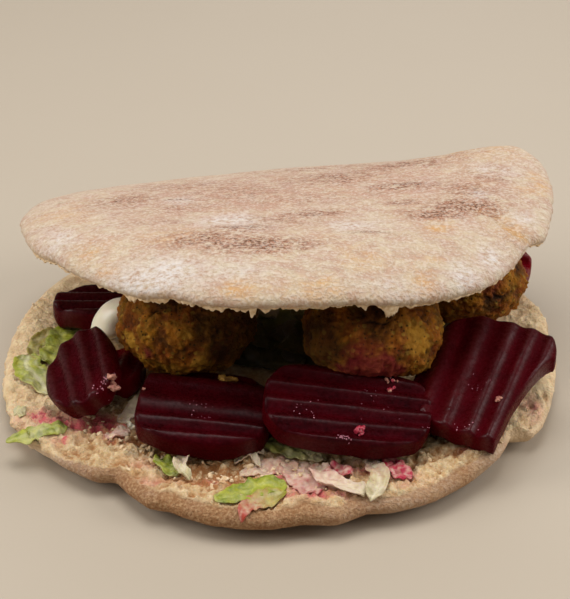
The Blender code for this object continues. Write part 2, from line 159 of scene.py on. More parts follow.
LID_CREASE = (
    (51.0, -2.0), (57.2, -5.0), (60.8, -11.0), (64.8, -14.2), (68.2, -14.8), (72.5, -13.4),
)
LEFT_CREASE = ((-71.5, -2.5), (-68.0, 0.5))
RIM_CREASE = ((-76.0, -31.0), (-66.0, -31.5))


def select_only(item):
    bpy.ops.object.select_all(action="DESELECT")
    item.select_set(True)
    bpy.context.view_layer.objects.active = item


def solid_copy(node, name):
    """A merged copy of a CAD node's mesh, ready to be worked on."""
    item = bpy.data.objects.new(name, frame["nodes"][node].data.copy())
    bpy.context.scene.collection.objects.link(item)
    item.data.materials.clear()
    select_only(item)
    bpy.ops.object.mode_set(mode="EDIT")
    bpy.ops.mesh.select_all(action="SELECT")
    bpy.ops.mesh.remove_doubles(threshold=0.01 * MM)
    bpy.ops.mesh.tris_convert_to_quads()
    bpy.ops.object.mode_set(mode="OBJECT")
    return item


def finish_modifier(item, kind, **settings):
    select_only(item)
    modifier = item.modifiers.new(kind.lower(), kind)
    for key, value in settings.items():
        setattr(modifier, key, value)
    bpy.ops.object.modifier_apply(modifier=modifier.name)


def read_points(item):
    """Vertex places in mm and unit normals, as arrays."""
    count = len(item.data.vertices)
    places, normals = np.zeros(count * 3), np.zeros(count * 3)
    item.data.vertices.foreach_get("co", places)
    item.data.vertices.foreach_get("normal", normals)
    return places.reshape(-1, 3) / MM, normals.reshape(-1, 3)


def write_points(item, places):
    item.data.vertices.foreach_set("co", (places * MM).ravel())
    item.data.update()


def lumps(places, size, seed=0.0, stretch=(1.0, 1.0, 1.0)):
    """Smooth noise from -1 to 1, with lumps about size mm across."""
    scaled = places / (size * np.array(stretch)) + np.array((seed, 1.7 * seed, 0.6 * seed))
    return np.array([noise.noise(Vector(point)) for point in scaled])


def grains(places, size, seed=0.0):
    """Distance to the nearest of scattered grains: 0 in a grain's middle, about 0.6 between."""
    scaled = places / size + seed
    return np.array([noise.voronoi(Vector(point))[0][0] for point in scaled])


def rise(value, low, high):
    """A soft step from 0 at low to 1 at high."""
    way = np.clip((value - low) / (high - low), 0.0, 1.0)
    return way * way * (3.0 - 2.0 * way)


def blotches(x, y, table):
    """How strongly each point is marked by oval blotches with soft edges."""
    total = np.zeros(len(x))
    for centre_x, centre_y, half_x, half_y, strength in table:
        away = ((x - centre_x) / half_x) ** 2 + ((y - centre_y) / half_y) ** 2
        total = np.maximum(total, strength * np.exp(-away))
    return total


def along_line(x, y, line, width):
    """1 on a line of points, fading out to about width mm beside it."""
    nearest = np.full(len(x), 1e3)
    for (ax, ay), (bx, by) in zip(line, line[1:]):
        along = ((x - ax) * (bx - ax) + (y - ay) * (by - ay)) / ((bx - ax) ** 2 + (by - ay) ** 2)
        along = np.clip(along, 0.0, 1.0)
        away = np.hypot(x - ax - along * (bx - ax), y - ay - along * (by - ay))
        nearest = np.minimum(nearest, away)
    return np.exp(-(nearest / width) ** 2)


def keep_value(item, name, values):
    """Keeps one number from 0 to 1 at each vertex, for a material to read."""
    layer = item.data.attributes.new(name, "FLOAT", "POINT")
    layer.data.foreach_set("value", np.clip(values, 0.0, 1.0).astype(np.float32))


def into_pocket(places, normals):
    """Above 0 on the crumb, which faces the pocket, and below 0 on the crust."""
    towards = np.stack(
        [-0.45 * places[:, 0], -0.45 * places[:, 1], POCKET_MIDDLE - places[:, 2]], axis=1
    )
    towards /= np.linalg.norm(towards, axis=1)[:, None]
    return (normals * towards).sum(axis=1)


bread = solid_copy("pita", "bread")
finish_modifier(bread, "SUBSURF", levels=1, render_levels=1)
finish_modifier(bread, "REMESH", mode="VOXEL", voxel_size=BREAD_VOXEL * MM)
finish_modifier(bread, "SMOOTH", factor=0.5, iterations=8)

# neither leaf is an even oval: both edges bulge and dip
places = read_points(bread)[0]
azimuth = np.degrees(np.arctan2(places[:, 0], places[:, 1])) % 360.0
table = np.array(LOWER_RIM)
out = np.interp(azimuth, table[:, 0], table[:, 1], period=360.0)
reach = np.hypot(places[:, 0], places[:, 1])
out *= rise(reach, 56.0, 77.0) * rise(24.0 - places[:, 2], 0.0, 8.0)
places[:, :2] *= (1.0 + out / np.maximum(reach, 1.0))[:, None]
azimuth = np.degrees(np.arctan2(places[:, 0], places[:, 1] - LID_MIDDLE_Y)) % 360.0
table = np.array(LID_RIM)
reach = np.hypot(places[:, 0], places[:, 1] - LID_MIDDLE_Y)
edge = LID_REACH - LID_WIDENING * np.cos(np.radians(2.0 * (azimuth - 180.0)))
share = rise(reach / edge, 0.66, 0.98) * rise(places[:, 2], 26.0, 34.0)
share *= rise(np.abs((azimuth + 180.0) % 360.0 - 180.0), 4.0, 20.0)
out = np.interp(azimuth, table[:, 0], table[:, 1], period=360.0) * share
up = np.interp(azimuth, table[:, 0], table[:, 2], period=360.0) * share
places[:, 0] += out * np.sin(np.radians(azimuth))
places[:, 1] += out * np.cos(np.radians(azimuth))
places[:, 2] += up
write_points(bread, places)

# the torn crumb that shows round the front is cut finer than the rest
places, normals = read_points(bread)
facing = into_pocket(places, normals)
reach = np.hypot(places[:, 0], places[:, 1])
lower_leaf = places[:, 2] < LOWER_LEAF_TOP
fine = lower_leaf & (facing > -0.12) & (reach > 44.0) & (places[:, 1] < 25.0)
fine |= (places[:, 2] > LID_BOTTOM) & (places[:, 1] < 8.0) & (np.abs(facing) < 0.45)
bread.data.vertices.foreach_set("select", fine)
select_only(bread)
bpy.ops.object.mode_set(mode="EDIT")
bpy.ops.mesh.select_mode(type="VERT")
bpy.ops.object.mode_set(mode="OBJECT")
bread.data.vertices.foreach_set("select", fine)
bpy.ops.object.mode_set(mode="EDIT")
bpy.ops.mesh.subdivide(number_cuts=1)
bpy.ops.object.mode_set(mode="OBJECT")

# how far each point is torn crumb, and where the lid's marks lie
places, normals = read_points(bread)
x, y, z = places.T
facing = into_pocket(places, normals)
reach = np.hypot(x, y)
lower_leaf = z < LOWER_LEAF_TOP
on_lid = (z > LID_BOTTOM) & (normals[:, 2] > 0.1)
on_top_of_leaf = lower_leaf & (normals[:, 2] > 0.2)
wander = lumps(places, 7.0, 3.0)
sideways = rise(np.abs(x) / np.maximum(reach, 1.0), 0.62, 0.92) * rise(30.0 - y, 0.0, 20.0)
over_rim = np.where(lower_leaf, (0.42 + 0.3 * rise(-x, 45.0, 60.0)) * sideways, 0.0)
over_rim -= np.where(lower_leaf, 0.27 * (1.0 - sideways) * rise(reach, 68.0, 78.0), 0.0)
pale_rim = blotches(x + 3.0 * wander, y, PALE_RIM)
over_rim += np.where(lower_leaf, np.where(x < 0.0, 0.7, 0.25) * pale_rim, 0.0)
crumb = rise(facing + over_rim + 0.10 * wander + 0.06 * lumps(places, 2.2, 5.0), 0.02, 0.14)
lid_mark_x = x + 2.5 * lumps(places, 9.0, 11.0) + 1.0 * lumps(places, 2.5, 12.0)
lid_mark_y = y + 2.0 * lumps(places, 8.0, 13.0) + 0.8 * lumps(places, 2.5, 14.0)

# the skin swells and dips a little, while the crumb is torn in layers with walls, pores and holes
swell = CRUST_SWELL * lumps(places, 20.0, 1.0) + 0.14 * lumps(places, 6.0, 2.0)
swell += 0.07 * lumps(places, 2.4, 4.0)
layer = 0.5 + 0.5 * lumps(places, 8.0, 6.0, (1.5, 1.0, 1.0))
layer = 3.0 * np.clip(layer + 0.10 * lumps(places, 2.0, 7.0), 0.0, 0.999)
torn = (np.floor(layer) + rise(layer % 1.0, 0.30, 0.62)) / 3.0 - 0.5
torn = CRUMB_TEAR * torn + 1.1 * lumps(places, 3.6, 8.0) + 0.6 * lumps(places, 1.7, 9.0)
wide_walls = rise(0.16 - np.abs(lumps(places, 3.2, 25.0, (1.7, 1.0, 1.0))), 0.0, 0.16)
thin_walls = rise(0.2 - np.abs(lumps(places, 1.9, 26.0, (1.0, 1.5, 1.0))), 0.0, 0.2)
torn += 1.1 * np.maximum(wide_walls, 0.7 * thin_walls) - 0.3
pores = rise(0.42 - grains(places, 2.6), 0.0, 0.25) * rise(lumps(places, 6.0, 15.0), -0.1, 0.4)
torn -= 0.75 * pores
hole = blotches(x + 1.6 * wander, y + 1.4 * lumps(places, 3.0, 16.0), TORN_HOLES)
hole *= 0.85 + 0.9 * lumps(places, 2.2, 27.0)
show = np.where(lower_leaf, rise(reach, 34.0, 50.0) * (1.0 - 0.45 * rise(y, -38.0, -18.0)), 0.6)
torn = torn * show - np.where(on_top_of_leaf, hole, 0.0)

# folds: a sharp one at the right of the lid, beside it a painted golden shadow band, small ones at
# the left
beside_crease = along_line(x - 2.4, y - 1.2, LID_CREASE, 2.0) * rise(y + 16.5, 0.0, 3.0)
crease = 0.9 * along_line(x, y, LID_CREASE, 0.8)
crease += 0.9 * beside_crease - 0.6 * along_line(x + 1.5, y + 0.9, LID_CREASE, 1.2)
crease += 0.5 * along_line(x, y, LEFT_CREASE, 0.7)
move = (1.0 - crumb) * swell + crumb * torn - CREASE_DEPTH * crease * on_lid
rim_crease = along_line(x, y, RIM_CREASE, 0.9)
move -= RIM_CREASE_DEPTH * rim_crease * lower_leaf * (normals[:, 2] > 0.0)
move += blotches(x, y, RAISED_CRUMB) * on_top_of_leaf

# the joined wall at the back is puckered, and the underside stays flat
standing = rise(np.hypot(normals[:, 0], normals[:, 1]), 0.55, 0.9)
standing = standing * (1.0 - crumb) * rise(y + 15.0, 0.0, 30.0)
pucker = 0.35 * lumps(places, 11.0, 41.0, (1.8, 1.8, 0.5))
pucker += 0.2 * lumps(places, 3.5, 42.0, (1.6, 1.6, 0.6))
pucker -= 0.55 * np.exp(-(lumps(places, 16.0, 43.0, (1.5, 1.5, 0.35)) / 0.07) ** 2)
move += standing * pucker
underside = (z < 0.9) & (normals[:, 2] < -0.5)
move = np.where(underside, np.minimum(move, 0.0) * 0.4, move)
places = places + normals * move[:, None]
places[:, 2] = np.maximum(places[:, 2], LOWEST)
write_points(bread, places)

# scorches, flour, juice and the rest, kept for the finish to read
toast = blotches(lid_mark_x, lid_mark_y, LID_SCORCHES) + 0.12 * lumps(places, 14.0, 17.0)
gold = blotches(lid_mark_x, lid_mark_y, LID_GOLD) + 0.22 * lumps(places, 11.0, 18.0)
# painted shadow: a golden band beside the sharp fold
gold += 0.8 * beside_crease + 0.22 * rise(-y, 38.0, 47.0)
flour = blotches(lid_mark_x, lid_mark_y, LID_FLOUR) + 0.2 * lumps(places, 9.0, 19.0)
streak_x = x + 1.2 * lumps(places, 6.0, 20.0)
streak_y = y + 0.5 * lumps(places, 4.0, 21.0)
# scorch lines, and painted shade along the creases
streaks = blotches(streak_x, streak_y, LID_LINES) + 0.22 * np.clip(crease, 0.0, 1.0)
stain_x = x + 2.0 * lumps(places, 4.0, 22.0)
stain_y = y + 1.6 * lumps(places, 3.0, 23.0)
stain = blotches(stain_x, stain_y, CRUMB_STAINS) * (0.8 + 0.8 * lumps(places, 2.4, 24.0))
rosy = blotches(x + 6.0 * lumps(places, 14.0, 31.0), y, ROSY_PATCHES)
# painted light: the crumb at the sides of the lower leaf is made paler
side_light = rise(np.abs(x), 50.0, 64.0) * rise(y + 62.0, 0.0, 14.0)
side_light *= 0.75 + 0.5 * lumps(places, 4.0, 45.0)
soaked_and_shaded = blotches(stain_x, stain_y, SOAKED_AND_SHADED_SPOTS)
hollow_shade_spots = blotches(x + 2.0 * wander, y + 1.5 * lumps(places, 3.0, 16.0), PAINTED_HOLLOW_SHADE)
for name, where, value, elsewhere in (
    ("crumb", True, crumb, 0.0),
    ("toast", on_lid, toast, 0.0),
    ("gold", on_lid, gold, 0.3 + 0.3 * lumps(places, 10.0, 18.0)),
    ("flour", on_lid, flour, 0.15 * lumps(places, 7.0, 19.0)),
    ("rosy", on_lid, rosy + 0.25 * lumps(places, 9.0, 32.0), 0.0),
    ("painted_side_light", lower_leaf, side_light, 0.0),
    ("baked", lower_leaf, 1.0 - 0.85 * np.clip(pale_rim, 0.0, 1.0), 1.0),
    ("streak", on_lid, streaks, 0.0),
    ("stain", lower_leaf, stain * crumb + 0.25 * stain, 0.0),
    ("soaked_and_shaded", lower_leaf, soaked_and_shaded, 0.0),
    # painted shade: darker where the torn crumb lies low, and in the painted shade spots
    ("hollow_shade", True, crumb * (0.34 - 0.42 * torn + hollow_shade_spots * (1.0 + lumps(places, 2.5, 44.0))), 0.0),
):
    keep_value(bread, name, np.where(where, value, elsewhere))
bread.data.shade_smooth()


def tone(red, green, blue):
    """A colour from 0-255 display values."""
    linear = [
        ((part / 255.0 + 0.055) / 1.055) ** 2.4 if part > 10 else part / 3294.6
        for part in (red, green, blue)
    ]
    return (*linear, 1.0)


def fill_sockets(tree, made, inputs):
    """Links a node's inputs to other nodes, or sets them to plain values."""
    for key, value in inputs.items():
        if isinstance(value, bpy.types.NodeSocket):
            tree.links.new(value, made.inputs[key])
        else:
            made.inputs[key].default_value = value


def add_node(tree, kind, inputs=None, **settings):
    made = tree.nodes.new(kind)
    for key, value in settings.items():
        setattr(made, key, value)
    fill_sockets(tree, made, inputs or {})
    return made


def mixed(tree, share, first, second):
    inputs = {0: share, 6: first, 7: second}
    return add_node(tree, "ShaderNodeMix", inputs, data_type="RGBA").outputs[2]


def combined(tree, operation, first, second=0.0, third=0.0, clamp=False):
    inputs = {0: first, 1: second, 2: third}
    made = add_node(tree, "ShaderNodeMath", inputs, operation=operation, use_clamp=clamp)
    return made.outputs[0]


def tinted(tree, colour, mask, strength, tint):
    """A colour turned towards a tint where a mask says, by at most a strength."""
    return mixed(tree, combined(tree, "MULTIPLY", mask, strength), colour, tint)


def broken_up(tree, mask, pattern, gain, base, clamp=True):
    """A mask broken up by a pattern, which counts gain times on top of a base."""
    share = combined(tree, "MULTIPLY_ADD", pattern, gain, base)
    return combined(tree, "MULTIPLY", mask, share, clamp=clamp)


def painted(tree, name):
    return add_node(tree, "ShaderNodeAttribute", attribute_name=name).outputs["Fac"]


def new_group(name, inputs):
    """A shader group with named number inputs, each with its usual value, and one output."""
    tree = bpy.data.node_groups.new(name, "ShaderNodeTree")
    for label, value in inputs.items():
        socket = tree.interface.new_socket(label, in_out="INPUT", socket_type="NodeSocketFloat")
        socket.default_value = value
    tree.interface.new_socket("Value", in_out="OUTPUT", socket_type="NodeSocketFloat")
    given, result = tree.nodes.new("NodeGroupInput"), tree.nodes.new("NodeGroupOutput")
    return tree, given.outputs, result.inputs["Value"]


# mottling that several of the foods share: noise by size in mm, spread about a half
mottle, given, result = new_group(
    "mottle",
    {"Size": 1.0, "Detail": 3.0, "Roughness": 0.55, "Contrast": 1.0, "Seed": 0.0, "Stretch": 1.0},
)
where = add_node(mottle, "ShaderNodeTexCoord").outputs["Object"]
squeeze = add_node(mottle, "ShaderNodeCombineXYZ", {0: 1.0, 1: given["Stretch"], 2: 1.0}).outputs[0]
offset = add_node(
    mottle, "ShaderNodeCombineXYZ", {0: given["Seed"], 1: given["Seed"], 2: given["Seed"]}
).outputs[0]
shifted = add_node(
    mottle, "ShaderNodeVectorMath", {0: where, 1: squeeze, 2: offset}, operation="MULTIPLY_ADD"
)
frequency = combined(mottle, "DIVIDE", 1000.0, given["Size"])
cloud = add_node(mottle, "ShaderNodeTexNoise", {
    "Vector": shifted.outputs[0], "Scale": frequency, "Detail": given["Detail"],
    "Roughness": given["Roughness"],
})
centred = combined(mottle, "SUBTRACT", cloud.outputs[0], 0.5)
spread = combined(mottle, "MULTIPLY", centred, given["Contrast"])
mottle.links.new(combined(mottle, "ADD", spread, 0.5, clamp=True), result)

# grains and pits: 1 inside a grain, 0 between grains, by size in mm
granular, given, result = new_group("grains", {"Size": 1.0, "Fill": 0.5, "Softness": 0.2})
where = add_node(granular, "ShaderNodeTexCoord").outputs["Object"]
cells = add_node(granular, "ShaderNodeTexVoronoi", {
    "Vector": where, "Scale": combined(granular, "DIVIDE", 1000.0, given["Size"]),
})
inside = combined(granular, "SUBTRACT", given["Fill"], cells.outputs["Distance"])
granular.links.new(combined(granular, "DIVIDE", inside, given["Softness"], clamp=True), result)


def mottled(tree, **settings):
    """The mottling, placed in a material with its own settings."""
    return add_node(tree, "ShaderNodeGroup", settings, node_tree=mottle).outputs["Value"]


def grained(tree, **settings):
    """The grains, placed in a material with their own settings."""
    return add_node(tree, "ShaderNodeGroup", settings, node_tree=granular).outputs["Value"]


def new_material(name):
    material = bpy.data.materials.new(name)
    material.use_nodes = True
    tree = material.node_tree
    return material, tree, tree.nodes["Principled BSDF"]


def bumped(tree, height, strength, distance, normal=None):
    inputs = {"Height": height, "Strength": strength, "Distance": distance * MM}
    if normal is not None:
        inputs["Normal"] = normal
    return add_node(tree, "ShaderNodeBump", inputs).outputs[0]


bread_finish, tree, shader = new_material("bread_crust_and_crumb")
crumb_mask, toast_mask = painted(tree, "crumb"), painted(tree, "toast")
flour_mask, gold_mask = painted(tree, "flour"), painted(tree, "gold")
fine_grain = mottled(tree, Size=0.9, Detail=2.0, Contrast=5.0, Stretch=1.15)
coarse_grain = mottled(
    tree, Size=1.8, Detail=4.0, Roughness=0.7, Contrast=3.0, Seed=0.2, Stretch=1.4
)
broad = mottled(tree, Size=5.0, Detail=5.0, Roughness=0.65, Contrast=4.5, Seed=0.3, Stretch=1.4)
patchy = mottled(tree, Size=4.5, Detail=5.0, Roughness=0.62, Contrast=4.5, Seed=0.5, Stretch=2.0)
place = add_node(tree, "ShaderNodeTexCoord").outputs["Object"]
height = add_node(tree, "ShaderNodeSeparateXYZ", {0: place}).outputs[2]
low_down = add_node(
    tree, "ShaderNodeMapRange", {0: height, 1: 0.030, 2: 0.010, 3: 0.0, 4: 1.0}
).outputs[0]
low_down = combined(tree, "MULTIPLY", low_down, painted(tree, "baked"))
speck = mottled(tree, Size=0.8, Detail=3.0, Roughness=0.65, Contrast=6.0, Seed=0.35, Stretch=1.1)
streaky = mottled(tree, Size=3.0, Detail=6.0, Roughness=0.78, Contrast=6.0, Seed=0.8, Stretch=1.8)

# the crust: pale dough, rosy and golden where it was baked, browned in its scorches, then floured;
# browner low down, partly from its bake and partly painted shade
crust = mixed(tree, broad, tone(205, 191, 166), tone(189, 161, 143))
pinkish = broken_up(tree, painted(tree, "rosy"), patchy, 0.75, 0.1, clamp=False)
crust = mixed(tree, pinkish, crust, tone(184, 141, 124))
fine_patches = mottled(
    tree, Size=2.6, Detail=5.0, Roughness=0.7, Contrast=4.0, Seed=1.3, Stretch=1.5
)
crust = tinted(tree, crust, fine_patches, 0.35, tone(187, 153, 127))
# golden patches, with the painted shadow band beside the fold among them
golden = broken_up(tree, gold_mask, patchy, 0.9, 0.2)
crust = tinted(tree, crust, golden, 0.85, tone(206, 158, 98))
# browner low down on the crust: partly its bake, partly painted shade
crust = tinted(tree, crust, low_down, 0.95, tone(148, 104, 66))
rosy = broken_up(tree, toast_mask, streaky, 2.0, -0.1)
crust = tinted(tree, crust, rosy, 0.8, tone(174, 120, 94))
browned = combined(tree, "MULTIPLY", toast_mask, combined(tree, "MULTIPLY", streaky, speck))
browned = combined(tree, "MULTIPLY", browned, 1.5, clamp=True)
crust = mixed(tree, browned, crust, tone(96, 60, 38))
floured = broken_up(tree, flour_mask, coarse_grain, 1.9, -0.25)
crust = mixed(tree, floured, crust, tone(214, 206, 202))
# scorch lines, and painted shade darkening the creases
scored = broken_up(tree, painted(tree, "streak"), speck, 1.1, 0.3)
crust = mixed(tree, scored, crust, tone(104, 68, 52))
dust = combined(tree, "MULTIPLY_ADD", fine_grain, 0.7, -0.3, clamp=True)
dust = combined(tree, "MULTIPLY", dust, combined(tree, "SUBTRACT", 1.0, low_down))
crust = mixed(tree, dust, crust, tone(220, 210, 198))
sanded = mottled(tree, Size=0.7, Detail=2.0, Contrast=5.0, Seed=1.6)
sanded = combined(tree, "MULTIPLY", sanded, low_down)
crust = tinted(tree, crust, sanded, 0.45, tone(206, 174, 132))
pored = mottled(tree, Size=0.9, Detail=3.0, Roughness=0.6, Contrast=4.5, Seed=0.6)
pored = combined(tree, "MULTIPLY", pored, low_down)
crust = tinted(tree, crust, pored, 0.7, tone(128, 88, 52))
shadowed = combined(tree, "MULTIPLY_ADD", coarse_grain, -0.55, 0.3, clamp=True)
crust = mixed(tree, shadowed, crust, tone(146, 108, 80))

# the crumb: paler, with painted shade in its hollows and painted light at the sides, stained where
# juice has run into it, and darkest with juice and painted shade between and behind the slices
airy = mottled(tree, Size=2.6, Detail=6.0, Roughness=0.72, Contrast=3.6, Seed=0.7)
soft = mixed(tree, airy, tone(210, 172, 120), tone(240, 220, 180))
# painted shade in the hollows of the crumb
hollow_shade_share = broken_up(tree, painted(tree, "hollow_shade"), airy, -1.1, 1.5)
soft = mixed(tree, hollow_shade_share, soft, tone(170, 118, 72))
bubbles = grained(tree, Size=1.5, Fill=0.34, Softness=0.16)
# the open pores are tinted darker: painted shade in the pits
soft = tinted(tree, soft, bubbles, 0.12, tone(164, 118, 70))
inner = mixed(tree, crumb_mask, crust, soft)
# painted light at the sides of the lower leaf
inner = tinted(tree, inner, painted(tree, "painted_side_light"), 0.6, tone(248, 224, 184))
juice = broken_up(tree, painted(tree, "stain"), airy, 1.2, 0.3)
inner = tinted(tree, inner, juice, 0.85, tone(206, 62, 92))
# juice stain and painted shade where the crumb lies between and behind the slices
inner = mixed(tree, painted(tree, "soaked_and_shaded"), inner, tone(70, 16, 20))

# cracks in the flour and fine grain on the crust, open pits in the crumb
cracks = add_node(
    tree, "ShaderNodeTexVoronoi", {"Vector": place, "Scale": 520.0}, feature="DISTANCE_TO_EDGE"
)
crack_height = combined(tree, "MINIMUM", cracks.outputs[0], 0.12)
crack_height = combined(tree, "MULTIPLY", crack_height, flour_mask)
skin_height = combined(tree, "MULTIPLY_ADD", crack_height, 4.0, fine_grain)
crust_bump = bumped(tree, skin_height, 0.6, 0.35)
pitted = mottled(tree, Size=2.0, Detail=5.0, Roughness=0.75, Contrast=3.0, Seed=0.9)
open_height = combined(tree, "MULTIPLY_ADD", bubbles, -0.25, pitted)
open_height = combined(tree, "MULTIPLY", open_height, crumb_mask)
fill_sockets(tree, shader, {
    "Base Color": inner,
    "Roughness": 0.82,
    "Specular IOR Level": 0.25,
    "Subsurface Weight": combined(tree, "MULTIPLY", crumb_mask, 0.22),
    "Subsurface Radius": (0.005, 0.0028, 0.0014),
    "Normal": bumped(tree, open_height, 0.55, 0.8, crust_bump),
})
bread.data.materials.append(bread_finish)
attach(bread, "root")
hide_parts("pita")


# ---------------------------------------------------------------- torn edge
# Shreds of crumb that hang from the slit along the front of the lid, where the two leaves
# were pulled apart.

LID_CENTRE = Vector((0.0, LID_MIDDLE_Y, 0.0)) * MM
EDGE_FROM, EDGE_SWEEP, EDGE_STEPS = 98.0, 170.0, 600     # azimuths in degrees
EDGE_INSET = 1.3              # how far in from the lid's edge the fringe hangs
RAGGED_FROM, RAGGED_TO = 183.0, 218.0
TEARS = (
    # azimuth about the middle of the lid, half width in degrees, how far the shred hangs
    (216.0, 1.4, 1.5), (209.0, 2.5, 0.7), (203.0, 3.0, 0.7), (197.0, 2.0, 0.9), (194.5, 0.9, 1.1),
    (190.5, 1.2, 0.9), (189.0, 0.6, 0.5), (187.2, 0.9, 2.6), (184.3, 1.3, 1.0), (181.0, 2.5, 0.6),
    (177.5, 0.8, 1.0), (161.5, 0.7, 1.2), (155.2, 1.9, 3.0), (156.6, 1.2, 0.8), (149.5, 2.5, 0.6),
    (139.0, 1.0, 0.7), (128.0, 1.2, 0.5),
)
FRINGE_ROWS = ((-0.5, 0.9), (0.3, 0.9), (0.75, 0.7), (1.0, 0.3))     # share of the drop, thickness
UP, DOWN = Vector((0.0, 0.0, 1.0)), Vector((0.0, 0.0, -1.0))


def skin_of(*items):
    """A surface that rays can be cast at, from finished pieces."""
    corners, faces = [], []
    for item in items:
        start = len(corners)
        corners += [vert.co.copy() for vert in item.data.vertices]
        faces += [[start + index for index in face.vertices] for face in item.data.polygons]
    return BVHTree.FromPolygons(corners, faces)


def item_from(name, bm):
    mesh = bpy.data.meshes.new(name)
    bm.to_mesh(mesh)
    bm.free()
    item = bpy.data.objects.new(name, mesh)
    bpy.context.scene.collection.objects.link(item)
    return item


bread_skin = skin_of(bread)
chance = random.Random(7)
edge_line = []
for step in range(EDGE_STEPS + 1):
    azimuth = math.radians(EDGE_FROM + EDGE_SWEEP * step / EDGE_STEPS)
    outwards = Vector((math.sin(azimuth), math.cos(azimuth), 0.0))
    inner_reach, outer_reach = 30.0 * MM, 90.0 * MM
    while outer_reach - inner_reach > 0.05 * MM:
        middle = 0.5 * (inner_reach + outer_reach)
        spot = LID_CENTRE + outwards * middle + Vector((0.0, 0.0, 80.0 * MM))
        hit = bread_skin.ray_cast(spot, DOWN)[0]
        if hit is not None and hit.z > 25.0 * MM:
            inner_reach = middle
        else:
            outer_reach = middle
    spot = LID_CENTRE + outwards * (inner_reach - EDGE_INSET * MM)
    spot.z = 24.0 * MM
    under = bread_skin.ray_cast(spot, UP)[0]
    if under is not None:
        edge_line.append((under, outwards, math.degrees(azimuth)))
bm = bmesh.new()
columns = []
for index, (under, outwards, azimuth) in enumerate(edge_line):
    drop = 0.15 + 0.5 * abs(noise.noise(Vector((index * 0.12, 0.0, 3.0)))) + 0.2 * chance.random()
    if RAGGED_FROM < azimuth < RAGGED_TO:
        clump = noise.noise(Vector((index * 0.07, 5.0, 0.0)))
        drop += 0.7 * rise(clump, 0.0, 0.25) * (0.5 + 0.5 * chance.random())
    for place, half_width, depth in TEARS:
        nearness = rise(1.0 - abs(azimuth - place) / half_width, 0.0, 0.45)
        drop += depth * nearness * chance.uniform(0.6, 1.0)
    sway = 0.5 * noise.noise(Vector((index * 0.3, 9.0, 0.0)))
    column = []
    for share, thick in FRINGE_ROWS:
        centre = under + Vector((0.0, 0.0, -drop * share * MM)) + outwards * sway * share * MM
        column.append(bm.verts.new(centre + outwards * 0.5 * thick * MM))
        column.append(bm.verts.new(centre - outwards * 0.5 * thick * MM))
    columns.append(column)
for left, right in zip(columns, columns[1:]):
    for row in range(len(FRINGE_ROWS) - 1):
        front, back = 2 * row, 2 * row + 1
        bm.faces.new((left[front], right[front], right[front + 2], left[front + 2]))
        bm.faces.new((left[back + 2], right[back + 2], right[back], left[back]))
    bm.faces.new((left[-2], right[-2], right[-1], left[-1]))
    bm.faces.new((left[1], right[1], right[0], left[0]))
for column, flip in ((columns[0], False), (columns[-1], True)):
    ring = column[0::2] + column[::-2]
    bm.faces.new(ring[::-1] if flip else ring)
bmesh.ops.recalc_face_normals(bm, faces=bm.faces)
torn_edge = item_from("torn_edge", bm)
torn_edge.data.shade_smooth()

crumb_finish, tree, shader = new_material("torn_crumb")
speck = mottled(tree, Size=1.0, Detail=4.0, Contrast=2.5)
fill_sockets(tree, shader, {
    "Base Color": mixed(tree, speck, tone(208, 172, 126), tone(240, 220, 188)),
    "Roughness": 0.85,
    "Specular IOR Level": 0.2,
    "Normal": bumped(tree, speck, 0.5, 0.3),
})
torn_edge.data.materials.append(crumb_finish)
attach(torn_edge, "root")


# ---------------------------------------------------------------- beetroot
# Cooked beetroot cut with a crinkle blade, so both faces carry parallel waves: dark, wet and
# glossy. The slices lie in the opening, leaning on the rim and on each other.

SLICE_THICKNESS = 6.4
SLICE_VOXEL = 0.42
RIDGE_PITCH = 5.4
RIDGE_HEIGHT = 0.68
RIDGE_FAN = 0.004             # how much the waves draw together for each mm along them
# outlines: how square the left and right ends are, lean, and from where the near side is trimmed
OVAL = (2.3, 2.3, 0.0, 50.0)
LEANING_OVAL = (1.7, 3.0, 0.15, 50.0)
LONG_OVAL = (2.6, 3.4, 0.0, 50.0)
SQUARE_BACK = (2.6, 3.2, 0.0, 50.0)
TRIMMED = (3.0, 5.0, 0.0, 7.3)
NUDGED = {"beetroot_back_right": (-1.2, 0.0, -2.0), "beetroot_under_left": (0.5, 1.5, 0.5)}
# painted glow: how much brighter red each slice is painted, as if light shone through it
LIT_THROUGH = {
    "beetroot_back_right": 0.75, "beetroot_front_right": 0.1, "beetroot_left": 0.06,
    "beetroot_under_left": 0.45,
}
WETNESS = {"beetroot_front_left": 0.6, "beetroot_front_middle": 0.45, "beetroot_left": 1.6}
BEET_SLICES = (
    # node, across and along the ridges, pitch, roll, turn, where a crest lies, outline, and how
    # much further it goes in each direction under its neighbours: x down, x up, y down, y up
    ("beetroot_back_left", 19.0, 29.0, -5.0, 0.0, 90.0, 3.0, OVAL, (0.0, 0.0, 0.0, 0.0)),
    ("beetroot_left", 20.6, 27.5, 14.0, -25.0, 8.0, 2.6, LEANING_OVAL, (0.0, 0.0, 0.0, 0.0)),
    ("beetroot_under_left", 12.0, 24.0, 0.0, 0.0, -11.0, 0.0, OVAL, (0.0, 0.0, -6.0, 0.0)),
    ("beetroot_front_left", 23.4, 34.0, 9.0, 2.5, 84.0, 1.6, LONG_OVAL, (0.0, 8.5, 2.6, 0.0)),
    ("beetroot_front_middle", 26.0, 44.0, 15.5, 6.0, 88.0, -1.0, SQUARE_BACK, (0.6, 0.6, 0.6, 0.6)),
    ("beetroot_front_right", 29.0, 43.0, 15.5, 0.0, -21.0, 5.3, TRIMMED, (6.0, 0.0, 0.0, 0.0)),
    ("beetroot_back_right", 20.0, 22.0, 14.0, 0.0, 60.0, 0.0, OVAL, (0.0, 0.0, 0.0, 0.0)),
)


def tipped(pitch, roll):
    """How a slice leans, before it is turned about its own upright."""
    rolled = Matrix.Rotation(math.radians(roll), 3, "Y")
    return rolled @ Matrix.Rotation(math.radians(pitch), 3, "X")


